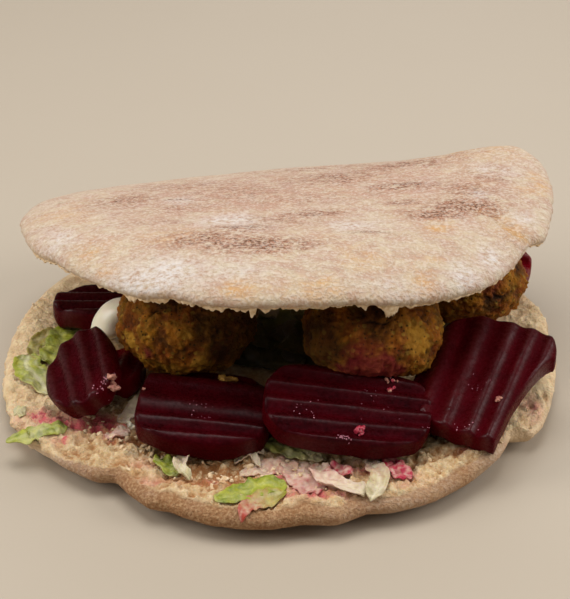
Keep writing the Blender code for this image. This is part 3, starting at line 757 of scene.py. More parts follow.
def cut_slice(node, across, along, pitch, roll, turn, crest, outline, further):
    """A wavy slice as big as its CAD node, its waves rounded and its rim softened."""
    left, right, shear, trim_start = outline
    bpy.ops.object.select_all(action="DESELECT")
    bpy.ops.mesh.primitive_grid_add(x_subdivisions=72, y_subdivisions=26, size=2.0)
    item = bpy.context.active_object
    item.name = item.data.name = node.replace("beetroot", "beet_slice")
    for vert in item.data.vertices:
        u, v = math.sin(0.5 * math.pi * vert.co.x), vert.co.y
        x = 0.5 * across * u
        squareness = left if u < 0.0 else right
        reach = 0.5 * along * (1.0 - abs(0.985 * u) ** squareness) ** (1.0 / squareness)
        near, far = shear * x - reach, shear * x + reach
        if x > trim_start:
            way = (x - trim_start) / (0.5 * across - trim_start)
            near = max(near, min(36.0 * way ** 0.42 - 0.5 * along, 0.9 * reach))
        y = 0.5 * (near + far) + 0.5 * (far - near) * v
        wave = math.cos(2.0 * math.pi * (x * (1.0 - RIDGE_FAN * y) - crest) / RIDGE_PITCH)
        drift = 0.12 * noise.noise(Vector((0.15 * x, 0.1 * y, across)))
        ridge = RIDGE_HEIGHT * (0.92 + 0.25 * noise.noise(Vector((0.12 * x, 0.06 * y, along))))
        vert.co = Vector((x, y, ridge * wave + drift)) * MM
    select_only(item)
    bpy.ops.object.mode_set(mode="EDIT")
    bpy.ops.mesh.select_all(action="SELECT")
    bpy.ops.transform.translate(value=(0.0, 0.0, 0.5 * SLICE_THICKNESS * MM))
    bpy.ops.mesh.extrude_region_move(
        TRANSFORM_OT_translate={"value": (0.0, 0.0, -SLICE_THICKNESS * MM)}
    )
    bpy.ops.mesh.select_all(action="SELECT")
    bpy.ops.mesh.normals_make_consistent(inside=False)
    bpy.ops.object.mode_set(mode="OBJECT")
    finish_modifier(item, "REMESH", mode="VOXEL", voxel_size=SLICE_VOXEL * MM)
    finish_modifier(item, "SMOOTH", factor=0.5, iterations=6)
    places, normals = read_points(item)
    item.data.vertices.foreach_set("select", np.abs(normals[:, 2]) < 0.55)
    bpy.ops.object.mode_set(mode="EDIT")
    bpy.ops.mesh.select_more()
    bpy.ops.mesh.select_more()
    bpy.ops.mesh.vertices_smooth(factor=0.5, repeat=16)
    bpy.ops.object.mode_set(mode="OBJECT")
    turned = np.array(tipped(pitch, roll) @ Matrix.Rotation(math.radians(turn), 3, "Z"))
    places, normals = read_points(item)
    low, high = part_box(node)
    whole = places @ turned.T
    shift = np.array(0.5 * (low + high)) / MM - 0.5 * (whole.min(axis=0) + whole.max(axis=0))
    shift += np.array(NUDGED.get(node, (0.0, 0.0, 0.0)))
    wave = places[:, 0] * (1.0 - RIDGE_FAN * places[:, 1]) - crest
    keep_value(item, "crest", 0.5 + 0.5 * np.cos(2.0 * math.pi * wave / RIDGE_PITCH))
    for axis, half, down, up in ((0, 0.5 * across, *further[:2]), (1, 0.5 * along, *further[2:])):
        share = places[:, axis] / half
        places[:, axis] += up * np.clip(share, 0.0, 1.0) - down * np.clip(-share, 0.0, 1.0)
        sag = 0.6 * (max(up, 2.5) - 2.5) * rise(share, 0.5, 1.0)
        places[:, 2] -= sag + 0.7 * (max(down, 2.0) - 2.0) * rise(-share, 0.6, 1.0)
    write_points(item, places @ turned.T + shift)
    return item


beet_slices = {}
for node, across, along, pitch, roll, turn, crest, outline, further in BEET_SLICES:
    beet = cut_slice(node, across, along, pitch, roll, turn, crest, outline, further)
    places, normals = read_points(beet)
    dimple = 0.05 * lumps(places, 1.6, 2.0) + 0.10 * lumps(places, 5.0, 4.0)
    write_points(beet, places + normals * dimple[:, None])
    flat_way = np.array(tipped(pitch, roll).col[2])
    # painted glow: the cut sides are marked to be painted a brighter red, as if light shone through
    keep_value(beet, "side", 1.0 - rise(np.abs(normals @ flat_way), 0.15, 0.6))
    keep_value(beet, "lit", np.full(len(places), LIT_THROUGH.get(node, 0.0)))
    keep_value(beet, "wet", np.full(len(places), WETNESS.get(node, 1.0)))
    beet.data.shade_smooth()
    beet_slices[node] = beet

beet_finish, tree, shader = new_material("cooked_beetroot")
flesh = mottled(tree, Size=7.0, Detail=4.0, Contrast=2.4)
colour = mixed(tree, flesh, tone(26, 1, 2), tone(54, 1, 6))
thread = mottled(tree, Size=1.1, Detail=4.0, Roughness=0.65, Contrast=3.4, Seed=0.4)
colour = tinted(tree, colour, thread, 0.3, tone(76, 8, 18))
# painted glow: brighter red on the cut sides and on the slices marked as lit through
colour = tinted(tree, colour, painted(tree, "side"), 0.35, tone(84, 2, 10))
colour = tinted(tree, colour, painted(tree, "lit"), 0.8, tone(128, 4, 20))
crest_top = combined(tree, "POWER", painted(tree, "crest"), 1.7)
sheen = broken_up(tree, crest_top, thread, 0.5, 0.7, clamp=False)
sheen = combined(tree, "MULTIPLY", sheen, painted(tree, "wet"))
skin = mottled(tree, Size=0.8, Detail=4.0, Roughness=0.7, Contrast=3.0, Seed=0.2)
fill_sockets(tree, shader, {
    "Base Color": colour,
    "Roughness": combined(tree, "MULTIPLY_ADD", thread, 0.16, 0.2),
    "Coat Weight": combined(tree, "MULTIPLY", sheen, 0.4, clamp=True),
    "Coat Roughness": 0.3,
    "Specular IOR Level": 0.03,
    "Specular Tint": (1.0, 0.5, 0.68, 1.0),
    "Normal": bumped(tree, skin, 0.5, 0.3),
})
for node, beet in beet_slices.items():
    beet.data.materials.append(beet_finish)
    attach(beet, "root")
    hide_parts(node)


# ---------------------------------------------------------------- falafel
# Balls of ground chickpeas, onion and herbs, deep fried: a rough brown crust of coarse grains
# with crevices, green where a herb shows. Painted light makes a grain that stands out lighter and
# golden; painted shade darkens the crevices, the sides where the balls face, and the tops under the
# lid.

FALAFEL_STAINS = (
    # ball, x, y, z, reach, strength of the beetroot juice
    ("falafel_middle", 23.0, -45.0, 23.0, 11.0, 1.0),
    ("falafel_middle", 15.0, -44.0, 19.0, 7.0, 0.9),
    ("falafel_middle", 20.0, -43.0, 31.0, 5.0, 0.7),
    ("falafel_left", -37.5, -35.5, 25.0, 2.2, 1.0), ("falafel_right", 60.0, -6.0, 30.0, 5.0, 0.4),
    ("falafel_right", 66.0, -4.0, 36.0, 3.0, 0.4),
)
CHICKPEA_BITS = (
    # ball, x, y, z, reach, how clearly a piece of chickpea shows
    ("falafel_left", -43.5, -31.0, 27.0, 4.0, 0.9),
    ("falafel_left", -23.0, -37.0, 23.0, 3.4, 0.8),
    ("falafel_left", -26.0, -37.0, 33.0, 2.6, 0.4),
    ("falafel_left", -40.0, -33.0, 22.0, 3.0, 0.6),
    ("falafel_middle", 10.0, -41.5, 24.0, 3.0, 0.7),
    ("falafel_middle", 36.0, -40.0, 33.0, 5.0, 0.5),
    ("falafel_right", 66.0, -2.0, 30.0, 3.0, 0.4), ("falafel_right", 58.0, -7.5, 34.0, 3.4, 0.5),
)
PAINTED_BALL_SHADE = (
    # ball, x, y, z, reach, strength: painted shade where the balls face each other and under the
    # lid
    ("falafel_left", -12.0, -32.0, 33.0, 17.0, 0.95),
    ("falafel_left", -34.0, -32.0, 44.0, 11.0, 0.8),
    ("falafel_middle", 5.0, -40.0, 33.0, 15.0, 0.95),
    ("falafel_middle", 24.0, -40.0, 44.0, 12.0, 0.8),
    ("falafel_right", 44.0, -16.0, 36.0, 9.0, 0.6),
)
BALL_VOXEL = 0.48
BALL_LEAN, LEANS_FROM = 0.42, 23.0      # the right ball leans left under the lid
LID_GAP = 0.3                 # the balls stay this far under the lid
BALL_SHIFTS = {"falafel_middle": (0.5, -2.2, -1.6), "falafel_right": (0.0, -0.5, -0.5)}


def near_spots(places, node, table, wander, size, softness):
    """How strongly each point is marked by the spots of its own ball."""
    total = np.zeros(len(places))
    for whose, cx, cy, cz, reach, strength in table:
        if whose == node:
            away = np.linalg.norm(places - np.array((cx, cy, cz)), axis=1)
            away += wander * lumps(places, size, 7.0)
            total = np.maximum(total, strength * rise(reach - away, 0.0, softness))
    return total


falafel_finish, tree, shader = new_material("fried_falafel")
depth = painted(tree, "depth")
blend = mottled(tree, Size=8.0, Detail=4.0, Contrast=3.6)
patch = mottled(tree, Size=2.6, Detail=5.0, Roughness=0.65, Contrast=4.5, Seed=0.5)
fleck = grained(tree, Size=1.6, Fill=0.22, Softness=0.06)
bits = grained(tree, Size=2.9, Fill=0.26, Softness=0.08)
colour = mixed(tree, blend, tone(134, 66, 16), tone(164, 108, 24))
colour = tinted(tree, colour, patch, 0.75, tone(90, 42, 10))
# painted light: lighter and golden where a grain stands out
peak_light = add_node(tree, "ShaderNodeMapRange", {0: depth, 1: 0.5, 2: 0.95}).outputs[0]
colour = tinted(tree, colour, peak_light, 0.55, tone(190, 124, 42))
colour = tinted(tree, colour, bits, 0.6, tone(178, 142, 56))
herby = mottled(tree, Size=4.5, Detail=4.0, Roughness=0.6, Contrast=7.0, Seed=2.2)
herby = combined(tree, "MULTIPLY_ADD", herby, 1.6, -1.0, clamp=True)
colour = tinted(tree, colour, herby, 0.6, tone(104, 88, 22))
# painted shade: dark in the crevices
crevice_shade = add_node(tree, "ShaderNodeMapRange", {0: depth, 1: 0.48, 2: 0.1}).outputs[0]
colour = mixed(tree, crevice_shade, colour, tone(44, 22, 8))
colour = mixed(tree, painted(tree, "chickpea"), colour, tone(190, 140, 48))
colour = tinted(tree, colour, fleck, 0.85, tone(40, 34, 12))
# painted shade where the balls face each other and under the lid
colour = tinted(tree, colour, painted(tree, "browned"), 0.75, tone(40, 20, 6))
colour = tinted(tree, colour, painted(tree, "stain"), 0.8, tone(112, 10, 34))
rough = mottled(tree, Size=0.7, Detail=3.0, Roughness=0.7, Contrast=3.0)
fill_sockets(tree, shader, {
    "Base Color": colour,
    "Roughness": 0.6,
    "Specular IOR Level": 0.12,
    "Normal": bumped(tree, rough, 0.8, 0.4),
})

for number, node in enumerate(("falafel_left", "falafel_middle", "falafel_right")):
    ball = solid_copy(node, node.replace("falafel", "falafel_ball"))
    finish_modifier(ball, "SUBSURF", levels=1, render_levels=1)
    finish_modifier(ball, "REMESH", mode="VOXEL", voxel_size=BALL_VOXEL * MM)
    finish_modifier(ball, "SMOOTH", factor=0.5, iterations=4)
    places, normals = read_points(ball)
    seed = 10.0 * number
    coarse = lumps(places, 7.0, seed + 1.0)
    wandered = places + 0.8 * lumps(places, 3.0, seed)[:, None]
    clods = rise(0.62 - grains(wandered, 3.8, seed), 0.0, 0.5)
    grit = rise(0.60 - grains(places, 1.7, seed), 0.0, 0.5)
    crevice = rise(0.08 - np.abs(lumps(places, 5.0, seed + 5.0)), 0.0, 0.07)
    crevice *= rise(lumps(places, 8.0, seed + 6.0), 0.1, 0.4)
    relief = 0.9 * coarse + 0.5 * clods + 0.55 * grit + 0.3 * lumps(places, 1.0, seed + 3.0)
    relief -= 0.6 * crevice
    relief += 0.5 * rise(lumps(places, 2.6, seed + 8.0), 0.25, 0.5)
    places = places + normals * (relief - np.percentile(relief, 97) + 0.45)[:, None]
    places += np.array(BALL_SHIFTS.get(node, (0.0, 0.0, 0.0)))
    if node == "falafel_right":
        places[:, 0] -= BALL_LEAN * np.maximum(places[:, 2] - LEANS_FROM, 0.0)
    for point in places:
        if point[2] > POCKET_MIDDLE:
            above = bread_skin.ray_cast(Vector((point[0], point[1], 24.0)) * MM, UP)[0]
            if above is not None:
                point[2] = min(point[2], above.z / MM - LID_GAP)
    write_points(ball, places)
    keep_value(ball, "depth", 0.5 + 0.42 * (relief - np.median(relief)))
    keep_value(ball, "stain", near_spots(places, node, FALAFEL_STAINS, 2.4, 3.0, 3.0))
    keep_value(ball, "chickpea", near_spots(places, node, CHICKPEA_BITS, 1.6, 1.8, 1.8))
    # painted shade where the balls face each other and under the lid
    keep_value(ball, "browned", near_spots(places, node, PAINTED_BALL_SHADE, 3.0, 4.0, 7.0))
    ball.data.shade_smooth()
    ball.data.materials.append(falafel_finish)
    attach(ball, "root")
    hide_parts(node)


# ---------------------------------------------------------------- garlic sauce
# A spoonful of thick garlic sauce, smooth and white. It was dropped in beside the left ball,
# and has slumped down between the ball and the beetroot.

dollop = solid_copy("garlic_sauce", "sauce_dollop")
finish_modifier(dollop, "SUBSURF", levels=2, render_levels=2)
places, normals = read_points(dollop)
places = places + normals * (0.9 * lumps(places, 7.0, 2.0) + 0.2 * lumps(places, 2.5, 5.0))[:, None]
middle = places.mean(axis=0)
places = middle + (places - middle) * np.array((1.12, 1.1, 0.95)) + np.array((1.0, 0.6, 1.8))
places[:, 1] += 5.0 * rise(19.0 - places[:, 2], 0.0, 8.0)
places[:, 0] += 0.42 * (places[:, 2] - 21.0)
write_points(dollop, places)
dollop.data.shade_smooth()
sauce_finish, tree, shader = new_material("garlic_sauce_cream")
thin = mottled(tree, Size=4.0, Detail=3.0, Contrast=1.6)
fill_sockets(tree, shader, {
    "Base Color": mixed(tree, thin, tone(236, 226, 200), tone(250, 244, 224)),
    "Roughness": 0.34,
    "Subsurface Weight": 0.2,
    "Subsurface Radius": (0.003, 0.002, 0.001),
    "Normal": bumped(tree, thin, 0.15, 0.4),
})
dollop.data.materials.append(sauce_finish)
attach(dollop, "root")
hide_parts("garlic_sauce")


# ---------------------------------------------------------------- lettuce bed
# Shredded iceberg lettuce under the balls, squashed down by them: a dense core with loose
# crumpled shreds over it and round its edge. Towards the front the bed is painted dark: painted
# shade, partly standing for juice it has soaked up.

SHREDS_TRIED = 150            # those that would reach past the bed's edge are left out
FRONT_CORNER = (33.0, -44.0)  # no shreds lie under the right front slice
LEAF_THICKNESS = 0.42
core = solid_copy("lettuce_bed", "lettuce_core")
finish_modifier(core, "SUBSURF", levels=1, render_levels=1, subdivision_type="SIMPLE")
finish_modifier(core, "REMESH", mode="VOXEL", voxel_size=1.0 * MM)
finish_modifier(core, "SMOOTH", factor=0.5, iterations=3)
places, normals = read_points(core)
crumple = 0.9 * np.abs(lumps(places, 5.0, 2.0)) + 0.4 * lumps(places, 2.0, 4.0)
places = places - normals * (1.2 + 0.8 * crumple)[:, None]
write_points(core, places)
core.data.shade_smooth()


def soft_curve(corners, share):
    """Place and direction at a share of the way along a soft curve through the corners."""
    spans = len(corners) - 1
    at = min(max(share, 0.0), 0.9999) * spans
    index, way = int(at), at - int(at)
    around = [Vector(corners[min(max(index + step, 0), spans)]) for step in (-1, 0, 1, 2)]
    before, start, end, after = around
    leaving, arriving = 0.5 * (end - before), 0.5 * (after - start)
    square, cube = way * way, way ** 3
    place = (2 * cube - 3 * square + 1) * start + (cube - 2 * square + way) * leaving
    place += (3 * square - 2 * cube) * end + (cube - square) * arriving
    return place, (end - start).normalized()


def spread_over(values, share):
    """The value at a share of the way along, between the values given from end to end."""
    at = min(max(share, 0.0), 0.9999) * (len(values) - 1)
    return values[int(at)] + (values[int(at) + 1] - values[int(at)]) * (at - int(at))


def ground_below(skin, x, y, overhang):
    """Height in mm of what a shred lies on; past an edge it sags by overhang per mm."""
    hit = skin.ray_cast(Vector((x, y, 26.0)) * MM, DOWN)[0]
    if hit is not None and hit.z > 6.0 * MM:
        return hit.z / MM
    nearest = skin.find_nearest(Vector((x, y, 11.0)) * MM)[0] / MM
    away = math.hypot(nearest.x - x, nearest.y - y)
    return max(nearest.z - overhang * away, 0.8)


def lay_shred(name, skin, path, widths, ruffle, lift, curl, green, rib, blush, overhang=0.8,
              rows=34, columns=10, seed=0.0):
    """A limp shred of leaf along a path in mm, following what lies under it."""
    bpy.ops.object.select_all(action="DESELECT")
    bpy.ops.mesh.primitive_grid_add(x_subdivisions=rows, y_subdivisions=columns, size=2.0)
    item = bpy.context.active_object
    item.name = item.data.name = name
    tints = []
    for vert in item.data.vertices:
        share, side = 0.5 + 0.5 * vert.co.x, vert.co.y
        place, onwards = soft_curve(path, share)
        across = Vector((-onwards.y, onwards.x))
        ends = (1.0 - abs(2.0 * share - 1.0) ** 5) ** 0.5
        ragged = 1.0 + 0.28 * noise.noise(Vector((7.0 * share, seed, 2.0 * (side > 0))))
        ragged += 0.12 * noise.noise(Vector((22.0 * share, seed, 4.0 * (side > 0))))
        width = spread_over(widths, share) * (0.25 + 0.75 * ends)
        spot = place + across * (0.5 * width * side * ragged)
        ground = ground_below(skin, spot.x, spot.y, overhang)
        wave = noise.noise(Vector((0.33 * spot.x, 0.33 * spot.y, seed)))
        fine = noise.noise(Vector((0.9 * spot.x, 0.9 * spot.y, seed + 3.0)))
        ruffled = ruffle * (0.5 * wave + 0.5 * fine) * (0.45 + 0.55 * abs(side))
        z = ground + (lift * (0.35 + 0.65 * ends) + ruffled)
        z += curl * side * side
        vert.co = Vector((spot.x, spot.y, max(z, ground + 0.3))) * MM
        ribbed = math.exp(-((side + 0.15 * math.sin(5.0 * share)) / 0.2) ** 2)
        ribbed = max(ribbed, 0.6 * math.exp(-((abs(side) - 0.55 + 0.1 * wave) / 0.09) ** 2))
        tints.append((
            spread_over(green, share) + 0.25 * wave + 0.1 * fine, rib * ribbed,
            spread_over(blush, share) * (0.75 + 0.8 * fine + 0.3 * wave),
        ))
    for column, label in enumerate(("greenness", "rib", "blush")):
        keep_value(item, label, np.array([tint[column] for tint in tints]))
    finish_modifier(item, "SOLIDIFY", thickness=LEAF_THICKNESS * MM, offset=0.0)
    finish_modifier(item, "SUBSURF", levels=1, render_levels=1)
    item.data.shade_smooth()
    return item


def joined(name, items):
    select_only(items[0])
    for item in items[1:]:
        item.select_set(True)
    bpy.ops.object.join()
    items[0].name = items[0].data.name = name
    return items[0]


leaf_finish, tree, shader = new_material("iceberg_lettuce")
ripple = mottled(tree, Size=3.0, Detail=3.0, Contrast=2.6)
vein = mottled(tree, Size=1.3, Detail=3.0, Contrast=3.0, Seed=0.6)
green = mixed(tree, ripple, tone(98, 116, 8), tone(176, 178, 50))
colour = mixed(tree, painted(tree, "greenness"), tone(224, 206, 188), green)
colour = tinted(tree, colour, vein, 0.22, tone(190, 192, 110))
colour = mixed(tree, painted(tree, "rib"), colour, tone(232, 228, 196))
blush = broken_up(tree, painted(tree, "blush"), vein, 0.5, 0.6)
colour = mixed(tree, blush, colour, tone(174, 26, 62))
rusty = combined(tree, "MULTIPLY", painted(tree, "rusty"), blush)
colour = mixed(tree, rusty, colour, tone(170, 62, 40))
# painted shade: the bed darker towards the front, partly standing for soaked-up juice
colour = mixed(tree, painted(tree, "painted_bed_shade"), colour, tone(38, 26, 14))
fill_sockets(tree, shader, {
    "Base Color": colour,
    "Roughness": 0.4,
    "Specular IOR Level": 0.4,
    "Subsurface Weight": 0.2,
    "Subsurface Radius": (0.002, 0.003, 0.001),
    "Normal": bumped(tree, vein, 0.5, 0.35),
})

chance = random.Random(21)
bed_low, bed_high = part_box("lettuce_bed")
bed_middle, bed_half = 0.5 * (bed_low + bed_high) / MM, 0.5 * (bed_high - bed_low) / MM
core_skin = skin_of(core)
strips = []
for index in range(SHREDS_TRIED):
    around = 2.0 * math.pi * (index * 0.618034)
    share = math.sqrt(0.2 + 0.72 * chance.random())
    start = Vector((
        bed_middle.x + bed_half.x * share * math.cos(around),
        bed_middle.y + bed_half.y * share * math.sin(around),
    ))
    heading, turn = chance.uniform(0.0, 2.0 * math.pi), chance.uniform(-0.7, 0.7)
    step = chance.uniform(3.0, 5.0)
    path = [start]
    for _ in range(3):
        path.append(path[-1] + Vector((math.cos(heading), math.sin(heading))) * step)
        heading += turn
    from_middle = [
        ((spot.x - bed_middle.x) / bed_half.x) ** 2 + ((spot.y - bed_middle.y) / bed_half.y) ** 2
        for spot in path
    ]
    if max(from_middle) > 0.96:
        continue
    width, tint = chance.uniform(3.0, 7.0), chance.uniform(0.2, 1.0)
    if any(spot.x > FRONT_CORNER[0] and spot.y < FRONT_CORNER[1] for spot in path):
        continue
    strips.append(lay_shred(
        f"strip_{index}", core_skin, path, (width, width, width), chance.uniform(1.4, 2.8),
        chance.uniform(0.4, 2.8), chance.uniform(-0.3, 1.4), (tint, tint), chance.uniform(0.0, 0.9),
        (0.15, 0.15), rows=9, columns=4, seed=index * 1.3,
    ))
loose_bed = joined("lettuce_shreds", strips)
for piece in (core, loose_bed):
    places, normals = read_points(piece)
    # painted shade, darker towards the front of the bed
    keep_value(piece, "painted_bed_shade", 0.9 * rise(-places[:, 1], -14.0, 8.0))
    if piece is core:
        keep_value(piece, "greenness", 0.7 + 0.4 * lumps(places, 6.0, 9.0))
    piece.data.shade_smooth()
    piece.data.materials.append(leaf_finish)
    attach(piece, "root")
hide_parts("lettuce_bed")


# ---------------------------------------------------------------- loose lettuce
# Shreds of lettuce that have slipped out round the front: green leaf, white rib, and pieces
# that have soaked up beetroot juice. Each lies on the bread as a limp leaf does.

LOOSE_LETTUCE = (
    # node, then the shreds of that piece: path, widths, ruffle, lift, curl, green, rib, blush, sag
    ("lettuce_left_upper", (
        (((-62.5, 6.0), (-64.4, 0.0), (-66.0, -8.0), (-67.4, -15.0)),
         (6, 9, 9, 5), 2.4, 1.4, 0.8, (0.95, 1.0, 0.9), 0.15, (0.0, 0.0), 0.4),
        (((-68.0, 5.0), (-71.0, -1.0), (-72.0, -8.0), (-70.0, -13.0)),
         (3, 5.5, 6, 3), 1.8, 0.6, 0.4, (0.8, 0.9, 0.8), 0.2, (0.3, 0.2), 0.3),
    )),
    ("lettuce_left_lower", (
        (((-74.0, -10.0), (-73.0, -17.0), (-70.0, -23.0), (-66.0, -30.0)),
         (5, 9, 9, 3), 1.6, 0.9, 0.6, (0.85, 1.0, 0.6), 0.7, (0.0, 0.05), 0.3),
    )),
    ("lettuce_rim_left", (
        (((-59.5, -45.5), (-64.5, -48.5), (-70.0, -50.0), (-75.5, -51.0)),
         (4, 6.5, 6.5, 2), 0.6, 0.4, 0.1, (0.95, 0.8, 0.9), 0.2, (0.0, 0.0), 0.2),
        (((-74.5, -35.0), (-73.0, -38.5), (-72.0, -42.0)),
         (2, 3.5, 2), 0.4, 0.2, 0.1, (0.5, 0.6), 0.2, (0.0, 0.1), 0.4),
    )),
    ("lettuce_gap_left", (
        (((-33.5, -20.5), (-38.0, -28.0), (-41.5, -36.0), (-45.0, -43.5)),
         (4, 5, 5, 4), 0.8, 0.5, 0.4, (0.15, 0.1), 0.8, (0.1, 0.3), 0.5),
        (((-43.2, -45.5), (-45.0, -49.0), (-48.5, -50.5)),
         (3, 4, 3), 0.8, 0.5, 0.3, (0.0, 0.0), 0.3, (0.5, 0.6), 0.5),
    )),
    ("lettuce_front_left", (
        (((-33.0, -58.5), (-31.4, -63.0), (-28.8, -68.0)),
         (4, 6, 3.5), 0.6, 0.8, 0.9, (1.0, 0.85), 0.1, (0.0, 0.0), 0.5),
    )),
    ("lettuce_front_curl", (
        (((-23.6, -58.5), (-27.0, -60.5), (-27.8, -65.5), (-25.0, -70.5)),
         (3.6, 4, 3.4, 3), 0.5, 2.0, 1.2, (0.0, 0.1, 0.35), 0.5, (0.2, 0.1, 0.0), 0.5),
    )),
    ("lettuce_front_small", (
        (((-13.5, -60.5), (-9.6, -58.6), (-5.6, -57.0)),
         (1.6, 3.4, 1.8), 1.0, 1.2, 0.3, (0.0, 0.05), 0.6, (0.0, 0.05), 0.5),
        (((-12.5, -57.0), (-9.0, -59.5), (-6.5, -62.0)),
         (1.2, 2.2, 1.0), 0.8, 1.6, 0.3, (0.0, 0.0), 0.6, (0.0, 0.0), 0.5),
    )),
    ("lettuce_rim_front", (
        (((0.5, -72.0), (-6.0, -73.4), (-12.0, -76.4), (-18.0, -79.6)),
         (5, 8.5, 8.5, 4), 1.0, 0.5, 0.3, (1.2, 1.15, 1.0, 0.85), 0.12, (0.0, 0.0, 0.0), 0.7),
        (((0.0, -75.4), (-5.6, -78.6), (-9.6, -82.0), (-11.2, -85.4)),
         (4.5, 7, 5, 1.4), 0.8, 0.6, 0.3, (1.0, 0.8, 0.45, 0.1), 0.3, (0.1, 0.2, 0.65, 1.0), 0.8),
    )),
    ("lettuce_under_middle", (
        (((-6.0, -52.5), (0.0, -54.5), (6.0, -57.0), (11.0, -59.0)),
         (5, 8, 7, 3), 1.0, 0.8, 0.3, (0.9, 0.7, 0.4), 0.2, (0.0, 0.05, 0.2), 0.5),
        (((-12.0, -64.5), (-6.0, -64.0), (0.0, -62.0), (3.0, -60.0)),
         (4, 8, 8, 4), 1.4, 0.4, 0.1, (0.1, 0.15, 0.05), 0.4, (0.3, 0.55, 0.5), 0.5),
    )),
    ("lettuce_front_pink", (
        (((9.4, -62.5), (9.8, -68.0), (13.5, -73.5), (20.5, -77.6)),
         (3.5, 7, 6.5, 4.5), 1.0, 1.4, 1.3, (0.0, 0.0, 0.05), 0.8, (0.6, 0.55, 0.3, 0.05), 0.5),
        (((0.5, -60.5), (3.5, -65.5), (6.0, -71.0), (8.0, -76.5)),
         (7, 10, 10, 6), 1.3, 0.3, 0.1, (0.05, 0.0), 0.3, (0.5, 0.6, 0.9), 0.6),
        (((11.0, -64.5), (14.5, -66.5), (17.6, -68.2)),
         (4.5, 5.5, 2.5), 0.8, 1.6, 0.4, (0.0, 0.0), 0.2, (1.2, 1.0), 0.5),
    )),
    ("lettuce_front_white", (
        (((22.6, -61.5), (24.2, -67.5), (24.6, -73.0), (22.0, -78.6)),
         (5, 6, 5.5, 4), 1.1, 1.3, 0.9, (0.0, 0.3, 0.45, 0.2), 0.8, (0.6, 0.3, 0.05), 0.5),
    )),
    ("lettuce_front_magenta", (
        (((27.0, -60.0), (29.4, -65.0), (31.0, -71.5)),
         (4.5, 7, 5), 1.1, 0.9, 0.5, (0.0, 0.0), 0.0, (1.8, 1.8), 0.6),
    )),
)
for index, (node, shreds) in enumerate(LOOSE_LETTUCE):
    made = []
    for number, (path, widths, ruffle, lift, curl, green, rib, blush, sag) in enumerate(shreds):
        made.append(lay_shred(
            f"{node}_{number}_part", bread_skin, path, widths, ruffle, lift, curl, green, rib,
            blush, overhang=sag, seed=2.1 * index + 0.7 * number + 0.4,
        ))
    leaf = joined(node.replace("lettuce", "leaf"), made)
    count = len(leaf.data.vertices)
    keep_value(leaf, "painted_bed_shade", np.zeros(count))
    keep_value(leaf, "rusty", np.full(count, 1.0 if node == "lettuce_rim_front" else 0.0))
    leaf.data.materials.append(leaf_finish)
    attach(leaf, "root")
    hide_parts(node)


# ---------------------------------------------------------------- crumbs
# Crumbs of bread torn loose when the pocket was filled, bits of the filling that have moved
# about, a drop of sauce, and froth where beetroot juice has bubbled.

BREAD_MORSELS = (
    # x, y, z to look near, radius, how many, how far they scatter
    (-46.0, -44.0, 20.0, 1.3, 3, 1.0), (-43.0, -45.0, 17.0, 0.7, 5, 1.8),
    (57.2, -49.7, 20.3, 0.6, 3, 0.8), (28.0, -45.0, 22.7, 0.45, 6, 1.8),
    (-41.0, -44.0, 15.0, 0.5, 4, 2.0),
)
BEET_MORSELS = ((20.0, -60.9, 18.0, 1.1, 3, 0.8), (28.5, -45.5, 21.3, 0.6, 3, 1.6))
FALAFEL_MORSELS = ((-16.6, -35.0, 18.0, 1.2, 3, 0.9), (-14.0, -34.4, 18.0, 0.9, 3, 0.7))
SAUCE_DROPS = ((-42.2, -43.6, 8.0, 1.1, 2, 0.8),)
FROTH = (
    (-48.5, -46.8, 18.4, 0.24, 34, 3.0), (-45.0, -42.0, 18.0, 0.2, 16, 2.4),
    (47.5, -59.5, 16.0, 0.2, 14, 3.0), (15.7, -65.1, 16.0, 0.24, 22, 1.8),
    (6.0, -56.0, 20.0, 0.18, 12, 4.0), (-22.0, -50.0, 17.5, 0.15, 14, 6.0),
    (24.0, -52.0, 21.0, 0.15, 14, 7.0), (38.0, -58.0, 17.0, 0.18, 6, 2.0),
    (52.0, -44.0, 21.0, 0.14, 10, 5.0),
)
CRUMB_COUNT = 260
HIGHEST_CRUMB = 12.0          # above this a ray has met the lid, not the lower leaf
chance = random.Random(5)


def settled(bm, skin, near, size, detail):
    """One small rough lump half sunk in the surface under a spot in mm."""
    above = Vector((near[0], near[1], near[2] + 6.0)) * MM
    spot, facing_out = skin.ray_cast(above, DOWN)[:2]
    if spot is None:
        return
    turned = Matrix.Rotation(chance.uniform(0.0, 6.28), 4, facing_out)
    wide, deep, high = chance.uniform(0.9, 1.5), chance.uniform(0.7, 1.1), chance.uniform(0.6, 0.9)
    sunk_in = Matrix.Translation(spot + facing_out * 0.35 * size * MM)
    made = bmesh.ops.create_icosphere(
        bm, subdivisions=detail, radius=size * MM,
        matrix=sunk_in @ turned @ Matrix.Diagonal((wide, deep, high, 1.0)),
    )
    for vert in made["verts"]:
        away = vert.co - spot
        vert.co += 0.55 * away * noise.noise(vert.co / (0.7 * size * MM) + Vector((size, 0.0, 0.0)))
        vert.co += 0.3 * away * noise.noise(vert.co / (0.25 * size * MM))


def scatter(bm, skin, spots, detail):
    for x, y, z, size, count, reach in spots:
        for index in range(count):
            near = (x + chance.gauss(0.0, 0.5) * reach, y + chance.gauss(0.0, 0.5) * reach, z)
            settled(bm, skin, near, size * chance.uniform(0.6, 1.15), detail)


def finish_crumbs(name, bm, material):
    item = item_from(name, bm)
    item.data.shade_smooth()
    item.data.materials.append(material)
    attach(item, "root")


def bit_material(name, dark, light, roughness, bump, **speckle):
    """A finish for small bits, speckled between two tones."""
    material, tree, shader = new_material(name)
    speck = mottled(tree, Contrast=3.0, **speckle)
    fill_sockets(tree, shader, {
        "Base Color": mixed(tree, speck, tone(*dark), tone(*light)),
        "Roughness": roughness,
        "Normal": bumped(tree, speck, *bump),
    })
    return material


